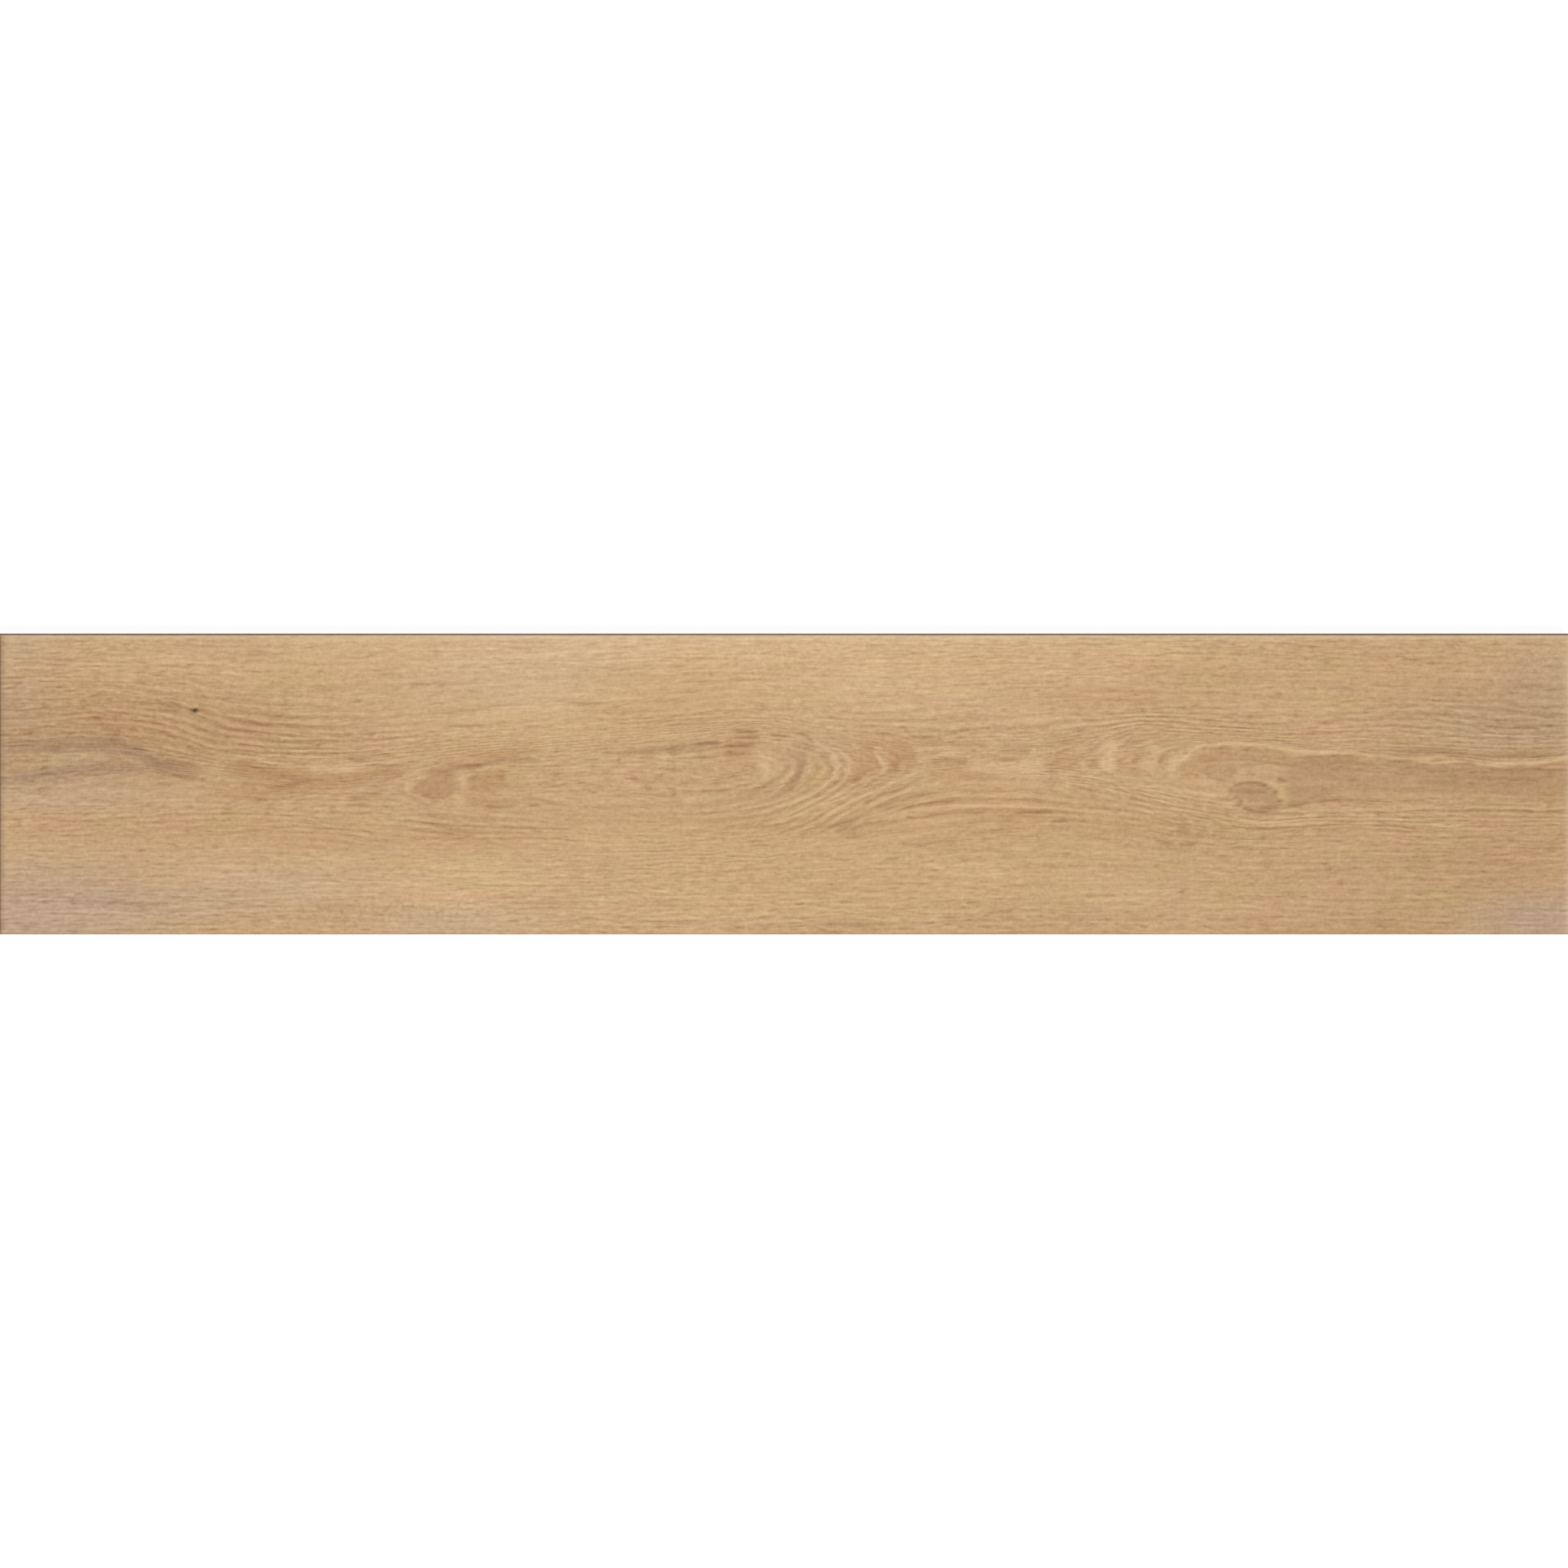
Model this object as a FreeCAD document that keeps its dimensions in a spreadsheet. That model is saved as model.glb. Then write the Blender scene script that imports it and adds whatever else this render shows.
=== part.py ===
import FreeCAD, Part
import math
import os
import Sketcher

# Wood look porcelain plank tile: one dry-pressed, glazed and fired piece, lying on its back.
# X runs along the plank, Y across it and Z up. The origin is the centre of the back, at the rib tops.
# All sizes are in millimetres and all angles in degrees.

SHEET = "sizes"
SIZES = [
    ("face_length", 1200),     # over the widest part of the sides
    ("face_width", 230),       # over the widest part of the sides
    ("plank_thickness", 10),   # from the rib tops on the back to the glazed face
    ("corner_radius", 0.8),    # the four upright corners, as the die leaves them
    ("arris_radius", 1.2),     # rounded edge between the face and the sides
    ("band_height", 5),        # upright band of the sides, under the face
    ("back_inset", 0.4),       # how far the sides draw in from that band to the back
    ("back_chamfer", 0.5),     # small bevel round the back
    ("cell_length", 94),       # keying cell of the back, along X at the rib tops
    ("cell_width", 47),        # the same cell, along Y
    ("cell_depth", 0.8),       # from the rib tops to the cell's floor
    ("cell_corner_cut", 4),    # cut-off corner of a cell, along its side
    ("cell_draft", 35),        # slope of a cell's walls, which lets the punch come away
    ("rib_width", 4),          # land between two cells
    ("plain_margin", 12),      # least width of the plain border round the cells
]

BODY = "plank_tile"
PARTS_FOLDER = "parts"


def size(name):
    """One driving dimension, as an expression refers to it."""
    return f"{SHEET}.{name}"


def driving_sheet(doc):
    """Spreadsheet with one row for each driving dimension."""
    sheet = doc.addObject("Spreadsheet::Sheet", SHEET)
    for row, (name, value) in enumerate(SIZES, start=1):
        sheet.set(f"A{row}", name)
        sheet.set(f"B{row}", str(value))
        sheet.setAlias(f"B{row}", name)
    return sheet


def origin_feature(body, role):
    """One of the body's own origin planes or axes."""
    return next(feature for feature in body.Origin.OriginFeatures if feature.Role == role)


def add_sketch(body, name, x="0 mm", y="0 mm", z="0 mm"):
    """Sketch parallel to the back, with its centre at x, y, z, each an expression."""
    sketch = body.newObject("Sketcher::SketchObject", name)
    sketch.AttachmentSupport = [(origin_feature(body, "XY_Plane"), "")]
    sketch.MapMode = "FlatFace"
    for axis, place in (("x", x), ("y", y), ("z", z)):
        sketch.setExpression(f".AttachmentOffset.Base.{axis}", place)
    return sketch


def bind(sketch, name, expression, *constraint):
    """Adds a dimensional constraint, names it and ties it to an expression."""
    index = sketch.addConstraint(Sketcher.Constraint(*constraint))
    sketch.renameConstraint(index, name)
    sketch.setExpression(f"Constraints.{name}", expression)


def draw_rounded_outline(sketch, length, width, radius):
    """Rectangle about the sketch's centre, with an arc at each corner. The three sizes are expressions."""
    half_x, half_y = sketch.evalExpression(length) / 2, sketch.evalExpression(width) / 2
    corner = sketch.evalExpression(radius)
    inner_x, inner_y = half_x - corner, half_y - corner
    ends = [
        ((-inner_x, -half_y), (inner_x, -half_y)),
        ((half_x, -inner_y), (half_x, inner_y)),
        ((inner_x, half_y), (-inner_x, half_y)),
        ((-half_x, inner_y), (-half_x, -inner_y)),
    ]
    centres = [(inner_x, -inner_y), (inner_x, inner_y), (-inner_x, inner_y), (-inner_x, -inner_y)]
    sides = []
    arcs = []
    for start, end in ends:
        line = Part.LineSegment(FreeCAD.Vector(*start), FreeCAD.Vector(*end))
        sides.append(sketch.addGeometry(line, False))
    for turn, centre in enumerate(centres):
        circle = Part.Circle(FreeCAD.Vector(*centre), FreeCAD.Vector(0, 0, 1), corner)
        from_angle = (turn - 1) * math.pi / 2
        arcs.append(sketch.addGeometry(Part.ArcOfCircle(circle, from_angle, from_angle + math.pi / 2), False))
    for side, arc, next_side in zip(sides, arcs, sides[1:] + sides[:1]):
        sketch.addConstraint(Sketcher.Constraint("Tangent", side, 2, arc, 1))
        sketch.addConstraint(Sketcher.Constraint("Tangent", arc, 2, next_side, 1))
    for arc in arcs[1:]:
        sketch.addConstraint(Sketcher.Constraint("Equal", arcs[0], arc))
    sketch.addConstraint(Sketcher.Constraint("Horizontal", sides[0]))
    sketch.addConstraint(Sketcher.Constraint("Vertical", sides[1]))
    sketch.addConstraint(Sketcher.Constraint("Symmetric", arcs[0], 3, arcs[2], 3, -1, 1))
    bind(sketch, "corner", radius, "Radius", arcs[0], corner)
    bind(sketch, "span_x", f"{length} - 2 * {radius}", "DistanceX", arcs[3], 3, arcs[0], 3, 2 * inner_x)
    bind(sketch, "span_y", f"{width} - 2 * {radius}", "DistanceY", arcs[0], 3, arcs[1], 3, 2 * inner_y)


def draw_cell_outline(sketch, length, width, corner_cut):
    """Rectangle about the sketch's centre with its corners cut off. The three sizes are expressions."""
    half_x, half_y = sketch.evalExpression(length) / 2, sketch.evalExpression(width) / 2
    cut = sketch.evalExpression(corner_cut)
    corners = [
        (-half_x + cut, -half_y),
        (half_x - cut, -half_y),
        (half_x, -half_y + cut),
        (half_x, half_y - cut),
        (half_x - cut, half_y),
        (-half_x + cut, half_y),
        (-half_x, half_y - cut),
        (-half_x, -half_y + cut),
    ]
    lines = []
    for start, end in zip(corners, corners[1:] + corners[:1]):
        line = Part.LineSegment(FreeCAD.Vector(*start), FreeCAD.Vector(*end))
        lines.append(sketch.addGeometry(line, False))
    for line, next_line in zip(lines, lines[1:] + lines[:1]):
        sketch.addConstraint(Sketcher.Constraint("Coincident", line, 2, next_line, 1))
    front, _, right, _, rear, _, left, _ = lines
    for line, opposite in ((front, rear), (right, left)):
        for end in (1, 2):
            sketch.addConstraint(Sketcher.Constraint("Symmetric", line, end, opposite, end, -1, 1))
    sketch.addConstraint(Sketcher.Constraint("Horizontal", front))
    sketch.addConstraint(Sketcher.Constraint("Vertical", right))
    bind(sketch, "span_x", length, "DistanceX", left, 1, right, 1, 2 * half_x)
    bind(sketch, "span_y", width, "DistanceY", front, 1, rear, 1, 2 * half_y)
    bind(sketch, "side_x", f"{length} - 2 * {corner_cut}", "DistanceX", front, 1, front, 2, 2 * (half_x - cut))
    bind(sketch, "side_y", f"{width} - 2 * {corner_cut}", "DistanceY", right, 1, right, 2, 2 * (half_y - cut))
    bind(sketch, "cut_x", corner_cut, "DistanceX", front, 2, right, 1, cut)
    bind(sketch, "cut_y", corner_cut, "DistanceY", front, 2, right, 1, cut)


def level_faces_at(shape, height):
    """Names of the shape's level faces at that height."""
    return [
        f"Face{index}"
        for index, face in enumerate(shape.Faces, start=1)
        if face.BoundBox.ZLength < 1e-6 and abs(face.BoundBox.ZMin - height) < 1e-6
    ]


def add_blank(doc, body):
    """The pressed blank: sides that widen from the back up to an upright band under the face."""
    band_foot = f"{size('plank_thickness')} - {size('band_height')}"
    outline = (size("face_length"), size("face_width"), size("corner_radius"))
    back_outline = (
        f"{size('face_length')} - 2 * {size('back_inset')}",
        f"{size('face_width')} - 2 * {size('back_inset')}",
        size("corner_radius"),
    )
    back = add_sketch(body, "back_outline")
    draw_rounded_outline(back, *back_outline)
    foot = add_sketch(body, "band_outline", z=band_foot)
    draw_rounded_outline(foot, *outline)
    doc.recompute()

    lower = body.newObject("PartDesign::AdditiveLoft", "lower_blank")
    lower.Profile = back
    lower.Sections = [foot]
    lower.Ruled = True
    doc.recompute()

    band = body.newObject("PartDesign::Pad", "upright_band")
    band.Profile = foot
    band.setExpression("Length", size("band_height"))
    doc.recompute()
    return band


def round_edges(doc, body, blank, thickness):
    """Rounds the edge of the face and bevels the edge of the back."""
    arris = body.newObject("PartDesign::Fillet", "face_arris")
    arris.Base = (blank, level_faces_at(blank.Shape, thickness))
    arris.setExpression("Radius", size("arris_radius"))
    doc.recompute()

    bevel = body.newObject("PartDesign::Chamfer", "back_bevel")
    bevel.Base = (arris, level_faces_at(arris.Shape, 0))
    bevel.setExpression("Size", size("back_chamfer"))
    doc.recompute()


def add_row(body, name, axis, pitch, count):
    """One direction of the grid of cells, with its pitch and count as expressions."""
    row = body.newObject("PartDesign::LinearPattern", name)
    row.Direction = (origin_feature(body, axis), [""])
    row.Mode = "Spacing"
    row.setExpression("Offset", pitch)
    row.setExpression("Occurrences", count)
    return row


def add_keying_cells(doc, body):
    """Shallow cells pressed into the back, which leave a net of ribs for the adhesive to grip."""
    pitch_x = f"({size('cell_length')} + {size('rib_width')})"
    pitch_y = f"({size('cell_width')} + {size('rib_width')})"
    count_x = f"floor(({size('face_length')} - 2 * {size('plain_margin')} + {size('rib_width')}) / {pitch_x})"
    count_y = f"floor(({size('face_width')} - 2 * {size('plain_margin')} + {size('rib_width')}) / {pitch_y})"

    outline = add_sketch(
        body,
        "cell_outline",
        x=f"-({count_x} - 1) * {pitch_x} / 2",
        y=f"-({count_y} - 1) * {pitch_y} / 2",
    )
    draw_cell_outline(outline, size("cell_length"), size("cell_width"), size("cell_corner_cut"))
    doc.recompute()

    cell = body.newObject("PartDesign::Pocket", "keying_cell")
    cell.Profile = outline
    cell.Reversed = True
    cell.setExpression("Length", size("cell_depth"))
    cell.setExpression("TaperAngle", f"-{size('cell_draft')}")
    doc.recompute()

    grid = body.newObject("PartDesign::MultiTransform", "keying_grid")
    along = add_row(body, "cells_along", "X_Axis", pitch_x, count_x)
    across = add_row(body, "cells_across", "Y_Axis", pitch_y, count_y)
    grid.Originals = [cell]
    grid.Transformations = [along, across]
    body.Tip = grid
    doc.recompute()
    return grid, along.Occurrences * across.Occurrences


def check_document(doc):
    """Stops the build where an object has failed without raising."""
    for item in doc.Objects:
        if any(state in item.State for state in ("Invalid", "Error")):
            raise RuntimeError(f"{item.Name} failed: {item.State}")


def check_solid(body):
    """Stops the build unless the body is one valid closed solid."""
    shape = body.Shape
    if shape.isNull() or not shape.isValid() or len(shape.Solids) != 1:
        raise RuntimeError(f"{body.Label} is not one valid solid")


def check_cells(grid, depth, count):
    """Stops the build unless the grid has left a floor for every one of its cells."""
    floors = level_faces_at(grid.Shape, depth)
    if len(floors) != count:
        raise RuntimeError(f"{len(floors)} cells are cut where {count} were due")


def main():
    doc = FreeCAD.newDocument("plank_tile_model")
    sheet = driving_sheet(doc)
    doc.recompute()
    body = doc.addObject("PartDesign::Body", BODY)
    body.Label = BODY
    blank = add_blank(doc, body)
    round_edges(doc, body, blank, sheet.plank_thickness)
    grid, cell_count = add_keying_cells(doc, body)
    check_cells(grid, sheet.cell_depth, cell_count)
    check_document(doc)
    check_solid(body)
    os.makedirs(PARTS_FOLDER, exist_ok=True)
    body.Shape.exportStep(os.path.join(PARTS_FOLDER, f"{body.Label}.step"))
    print(f"{body.Label}: {body.Shape.BoundBox}, {body.Shape.Volume / 1e6:.4f} litres")


main()
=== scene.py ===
"""Wood look porcelain plank tile: a dry-pressed, printed, matt glazed and fired plank, lying on its back.

X runs along the plank, Y across it and Z up. Sizes in this script are in millimetres unless a name says
otherwise, and turn to metres where a mesh or a node gets them. Places on the face are (x, y) from its centre.
"""
import math
from functools import partial

import bmesh
import bpy
import numpy as np
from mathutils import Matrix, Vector

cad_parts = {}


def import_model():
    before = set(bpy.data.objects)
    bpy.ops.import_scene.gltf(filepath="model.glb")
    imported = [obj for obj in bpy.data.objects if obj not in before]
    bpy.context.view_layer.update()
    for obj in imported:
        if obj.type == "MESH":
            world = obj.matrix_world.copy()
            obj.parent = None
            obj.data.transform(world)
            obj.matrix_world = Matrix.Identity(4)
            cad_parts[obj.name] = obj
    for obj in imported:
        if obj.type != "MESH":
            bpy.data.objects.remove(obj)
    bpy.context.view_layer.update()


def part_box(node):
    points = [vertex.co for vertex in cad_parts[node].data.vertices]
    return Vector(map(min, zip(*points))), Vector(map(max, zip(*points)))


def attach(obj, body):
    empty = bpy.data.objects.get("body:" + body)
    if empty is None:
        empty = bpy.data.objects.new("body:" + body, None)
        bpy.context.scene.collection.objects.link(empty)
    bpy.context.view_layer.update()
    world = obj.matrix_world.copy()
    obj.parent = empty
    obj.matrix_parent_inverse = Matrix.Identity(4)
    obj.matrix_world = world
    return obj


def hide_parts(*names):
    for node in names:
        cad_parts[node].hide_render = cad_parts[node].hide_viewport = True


MM = 0.001
NODE = "plank_tile"

# The edges and the back of the pressed plank
ARRIS_RADIUS = 1.2
ARRIS_STEPS = 4
CORNER_RADIUS = 0.8
BAND_HEIGHT = 5.0
BACK_INSET = 0.4
BACK_CHAMFER = 0.5
CELL_LENGTH = 94.0
CELL_WIDTH = 47.0
CELL_DEPTH = 0.8
CELL_CORNER_CUT = 4.0
CELL_DRAFT = math.radians(35)
RIB_WIDTH = 4.0
PLAIN_MARGIN = 12.0
SHARP_EDGE = math.radians(30)

# The mesh of the face, finest across the grain and where the figure is
COLUMN_WIDTHS = (3.8, 1.8, 3.8)
FIGURE_SPAN = (-60.0, 330.0)
ROW_WIDTHS = (1.6, 0.86, 1.6)
FIGURE_BAND = (-42.0, 62.0)

# The grain pressed into the face: how deep and how sharp, and how soon it fades out at the edges
RING_GROOVE = 0.06
GRAIN_RIPPLE = 0.05
GROOVE_SHARPNESS = 2.0
RELIEF_FADE = 2.0
RELIEF_SEED = 7.0
FACE_TOLERANCE = 0.001

# Waves of the ripple: per metre along the plank, per millimetre across the rings, and per side of the heart
RIPPLE_PACE = (28.0, 0.42, 2.0)

# Painted shade and highlight along the edges: a dark line of painted shade on the arris, darkest on the rear
# and left sides that face away from the lamp and none on the lit right side, and a pale line of painted
# highlight inside it. For each side: how dark and how wide the outer one is, and the pale one inside it
EDGE_SHADE_AND_HIGHLIGHT = {
    "left": (0.85, 2.1, 0.35, 4.4), "right": (0.0, 0.8, 0.45, 2.8),
    "rear": (0.90, 1.6, 0.85, 3.8), "front": (0.40, 1.2, 0.0, 1.0),
}
SHADE_LINE_CRISPNESS = 4

# Streaks of the print: length and width, noise detail and roughness, and whether they turn round the rings
STREAKS = {
    "fine": (11.0, 2.0, 0.5, 0.5, False),
    "short": (5.5, 2.3, 0.0, 0.5, False),
    "long": (55.0, 2.3, 0.5, 0.5, True),
    "medium": (26.0, 6.0, 1.0, 0.5, True),
    "broad": (110.0, 15.0, 1.0, 0.5, False),
    "pores": (10.0, 2.3, 0.0, 0.5, False),
    "yellow": (90.0, 24.0, 3.0, 0.6, False),
    "pink": (48.0, 13.0, 3.0, 0.6, False),
}

# How different the streaks are above and below the heart line
SIDE_PACE = 1.2

# The lightness of the print where nothing changes it, half way from an ink's dark shade to its pale one
MIDDLE_LEVEL = 0.5

# How strongly the streaks change the lightness, or the hue, of the print
CONTRAST = {"fine": 0.56, "short": 0.28, "long": 0.39, "medium": 0.15, "broad": 0.12}
HUE_CONTRAST = {"yellow": 2.1, "pink": 1.9}
RING_CONTRAST = 0.19

# Specks that don't follow the grain: size, noise detail and contrast
SPECKS = {"mottle": (3.8, 1.0, 0.60), "grit": (2.5, 0.0, 0.19)}

# Pores: how much they darken the print, and between which levels of their noise they begin
PORE_DARKNESS = 0.12
PORE_LEVELS = (0.12, 0.22)

# Rings of unequal strength: how fast it changes from ring to ring, how much, and the least of it
FORCE_PACE = 0.7
FORCE_SWING = 1.6
LEAST_FORCE = 0.2

# How patchy a ring is along its length, and its middle strength
RING_PATCHINESS = 1.8
RING_STRENGTH = 0.85

# Pigment breaks up along the long streaks, round this share of its full strength
PIGMENT_SHARE = 1.08

# How far the rings and the pores reach into the fine height of the glaze, and its full depth
RING_HEIGHT = 0.3
PORE_HEIGHT = -0.6
GLAZE_BUMP = 0.4

# Inks of the print, each in its dark and its pale shade
INKS = {
    "board": ("#95693c", "#eecb9d"), "yellow": ("#8e6d35", "#eacf93"), "pink": ("#98603f", "#f2c4a0"),
    "honey": ("#966e3a", "#e9c68e"), "ash": ("#8c6f57", "#e2c5a8"), "russet": ("#8a5a30", "#d0a06e"),
    "umber": ("#6f472b", "#a97a56"), "cream": ("#c8a070", "#f2d2a4"), "pin": ("#260c02", "#4a2108"),
    # The last two are not inks of the print: they are a painted highlight and a painted shade for the edges
    # of the face
    "edge_highlight": ("#c8a684", "#f6dcc0"), "edge_shade": ("#57371a", "#8a633a"),
}

# The inks that draw the figure, in the order in which they are printed, and then the painted highlight and
# painted shade along the edges
PIGMENTS = ("honey", "ash", "russet", "umber", "cream", "pin")
PAINTED_EDGE_LIGHT = ("edge_highlight", "edge_shade")

# The porcelain body: its shades by their level, and the size, noise detail and roughness of its grit and
# clouds. Real grit is less than half as wide, and is drawn coarser so that it shows.
BODY_SHADES = [(0.3, "#a89a88"), (0.55, "#c4b7a4"), (0.8, "#d6cbba")]
BODY_NOISES = {"grit": (0.9, 3.0, 0.7), "clouds": (60.0, 2.0, 0.5)}
CLOUD_SHARE = 0.4
GRIT_BUMP = 0.08

# White release wash on the feet of the ribs: how it comes and goes with the clouds, and how high it reaches
RELEASE_WASH = "#e9e4da"
WASH_LEVELS = (0.35, 0.6)
WASH_STRENGTH = 0.8
WASH_REACH = 0.2

# Grain lines followed over the board: how high each would lie on straight grain, and points along it
GRAIN_GUIDES = {
    -116: [(-620, -116), (0, -116), (620, -116)],
    -85: [(-620, -85), (-300, -85), (0, -84), (240, -81), (420, -82), (620, -82)],
    -60: [(-620, -60), (-340, -60), (-200, -62), (-60, -60), (60, -56), (200, -50), (340, -54), (620, -55)],
    -40: [
        (-620, -40), (-340, -39), (-240, -44), (-140, -48), (-60, -46), (0, -42), (40, -33.5), (80, -25.5),
        (140, -21.5), (200, -19.5), (240, -22.5), (300, -31), (360, -35.5), (420, -33), (500, -36),
        (620, -35.5),
    ],
    -25: [
        (-620, -25), (-340, -25), (-260, -29), (-180, -32.5), (-100, -36), (-40, -34.5), (0, -29.5),
        (40, -17), (80, -4), (120, 3), (200, 3), (240, -2.5), (280, -12), (320, -21), (360, -26),
        (420, -23), (500, -25), (620, -25),
    ],
    -10: [
        (-620, -10), (-400, -9), (-340, -8), (-280, -10.5), (-200, -13), (-120, -14.5), (-60, -16.5),
        (-20, -10), (20, -3), (80, 4), (160, 8), (240, 4), (280, -2), (340, -12.5), (420, -10.5),
        (520, -11.5), (620, -11),
    ],
    0: [
        (-620, -1), (-580, 0.5), (-540, 5), (-500, 8.5), (-460, 8), (-420, 4), (-380, -1), (-340, -2),
        (-300, 1), (-220, 6), (-140, 10.5), (-60, 13), (60, 13), (240, 12), (300, 10), (380, 5), (440, 5),
        (560, 2), (620, 2),
    ],
    15: [
        (-620, 15), (-500, 16.5), (-460, 13), (-420, 8), (-380, 5), (-340, 5.5), (-300, 9), (-240, 17.5),
        (-160, 24), (-80, 28), (-20, 34.5), (20, 30), (100, 20), (200, 20), (260, 25), (340, 30), (380, 27),
        (420, 24.3), (480, 20.6), (520, 19.4), (556, 15.5), (584, 17.5), (620, 19),
    ],
    33: [
        (-620, 32), (-540, 34), (-510, 33), (-480, 27.3), (-440, 20.5), (-400, 16.5), (-360, 15.3),
        (-320, 18), (-260, 24.3), (-180, 31.5), (-100, 37), (-40, 42.6), (0, 42.9), (40, 36.5), (100, 28),
        (180, 28.5), (240, 32.5), (280, 37), (340, 36), (400, 32), (480, 30.5), (560, 28), (620, 28.5),
    ],
    48: [
        (-620, 48), (-500, 47.5), (-480, 45), (-440, 34.5), (-400, 29.5), (-350, 27.8), (-300, 29.5),
        (-240, 34), (-160, 38.8), (-80, 44.7), (-20, 48.6), (0, 47.6), (20, 43.5), (60, 38.7), (100, 34),
        (140, 36.5), (200, 38.3), (240, 42.3), (270, 47.5), (340, 45.2), (400, 42.5), (480, 43.5),
        (560, 39.5), (620, 40),
    ],
    60: [
        (-620, 60), (-500, 60), (-470, 57), (-430, 48), (-400, 43.5), (-340, 39.5), (-280, 43.3),
        (-200, 45.5), (-120, 50.5), (-30, 58), (40, 54), (120, 53.4), (200, 54.5), (270, 58), (340, 56.5),
        (480, 56), (560, 51.5), (620, 50),
    ],
    72: [
        (-620, 72), (-490, 72), (-460, 69), (-420, 61.5), (-380, 59.5), (-320, 59), (-270, 64), (-160, 68),
        (-20, 75), (60, 70), (280, 73), (340, 71.5), (480, 69.5), (540, 66.5), (620, 65),
    ],
    85: [
        (-620, 85), (-500, 85), (-400, 79), (-340, 79), (-240, 83), (-40, 87), (40, 86), (280, 87),
        (620, 83),
    ],
    116: [(-620, 116), (0, 116), (620, 116)],
}

# The heart of the sawn board, round which the growth rings close
HEART_LINE = [
    (-360, -2), (-300, -3), (-240, -1), (-160, 2), (-100, 5), (-50, 10), (-12, 13), (40, 13), (100, 13),
    (160, 14), (210, 14), (256, 18), (285, 16), (304, 12), (340, 8),
]
HEART_REACH = 60.0

# How deep the pith lies under the face along the plank. Rings close in a tip where this depth passes them.
PITH_DEPTH = [
    (-330, 26), (-300, 23), (-284, 20), (-262, 15), (-240, 11), (-210, 7), (-160, 4), (-60, 2.5), (-36, 3),
    (-20, 6), (-8, 10), (5, 14), (20, 18.5), (38, 24), (50, 27.5), (75, 33), (105, 41), (140, 46),
    (170, 48), (200, 46), (230, 40), (256, 31), (270, 26), (283, 22), (300, 15), (320, 8), (345, 4),
]
LEAST_PITH_DEPTH = 2.0

# How pointed those tips are: 2 is round, and 1 is a sharp V
TIP_ROUNDNESS = [
    (-330, 1.7), (-100, 2.0), (40, 2.0), (80, 1.6), (140, 1.5), (256, 1.5), (300, 1.7), (345, 2.0),
]

# How much closer together the rings lie above the heart line than below it, where they fan out to the left
LOWER_FAN = [(-330, 0.9), (-100, 0.85), (0, 0.8), (40, 0.88), (90, 1.0), (345, 1.0)]

# How far apart the growth rings lie, and the pressed lines of the straighter grain
RING_PITCH = 3.3
LEVEL_PITCH = 4.9

# How far above and below the heart line the grain follows the rings, past which it follows the guides
FIGURE_ABOVE = [
    (-330, -14), (-300, 10), (-240, 12), (-190, -14), (-70, -14), (-40, 6), (-15, 28), (40, 27), (70, 22),
    (100, 12), (150, 9), (200, 10), (235, 20), (300, 22), (325, 10), (345, -14),
]
FIGURE_BELOW = [
    (-330, -14), (-300, 10), (-240, 12), (-190, -14), (-70, -14), (-40, 20), (-15, 40), (40, 40), (80, 26),
    (120, 12), (160, 5), (220, 6), (256, 10), (300, 12), (325, 8), (345, -14),
]
FIGURE_SOFTNESS = 4.0

# How far from the heart line its two sides have half their own grain
SIDE_SOFTNESS = 8.0

# Where the guides lie far apart, streaks lie closer by this much, so that none grows wide
CLOSER_GRAIN = 2.3
SPREAD_REACH = 5.0

# Slow natural wobbles: how far, the seed, how many times finer than the wave lengths, and these
WANDERS = {
    "level": (0.6, 5, 1.0, (170.0, 90.0, 60.0)),
    "radius": (0.5, 3, 1.0, (170.0, 90.0, 60.0)),
    "turns": (0.4, 7, 1.0, (320.0, 190.0)),
    "ragged x": (1.4, 11, 2.3, (170.0, 90.0, 47.0, 23.0)),
    "ragged y": (0.4, 12, 2.7, (170.0, 90.0)),
}

# The shape of a wobble: its length across the grain as a share of that along it, how far and how fast it
# leans, and the height of one of its waves
WANDER_FLATNESS = 0.3
WANDER_LEAN = 1.3
LEAN_PACE = 0.5
WAVE_HEIGHT = 0.6

# Where the growth rings show as pressed lines: x, y, half length, half height, strength
RING_ZONES = [
    (-540, 48, 60, 17, 0.35), (-450, 42, 42, 24, 0.6), (-380, 38, 60, 22, 0.7), (-300, 38, 60, 18, 0.6),
    (-430, -30, 130, 12, 0.4), (-245, -33, 55, 12, 0.65), (-200, 22, 90, 14, 0.3), (-60, 48, 110, 12, 0.45),
    (-60, 12, 60, 20, 0.34), (-90, -14, 90, 14, 0.45), (22, 10, 34, 30, 0.35), (10, -27, 70, 13, 0.75),
    (110, -18, 60, 13, 0.75), (120, 45, 90, 12, 0.5), (215, -14, 80, 12, 0.65), (300, -12, 60, 12, 0.6),
    (280, 46, 70, 10, 0.7), (330, 42, 70, 12, 0.5), (440, 40, 90, 14, 0.5), (520, 45, 80, 24, 0.62),
    (430, -28, 90, 10, 0.55), (540, -30, 80, 14, 0.45),
]
LEAST_RING_SHOW = 0.21

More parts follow.
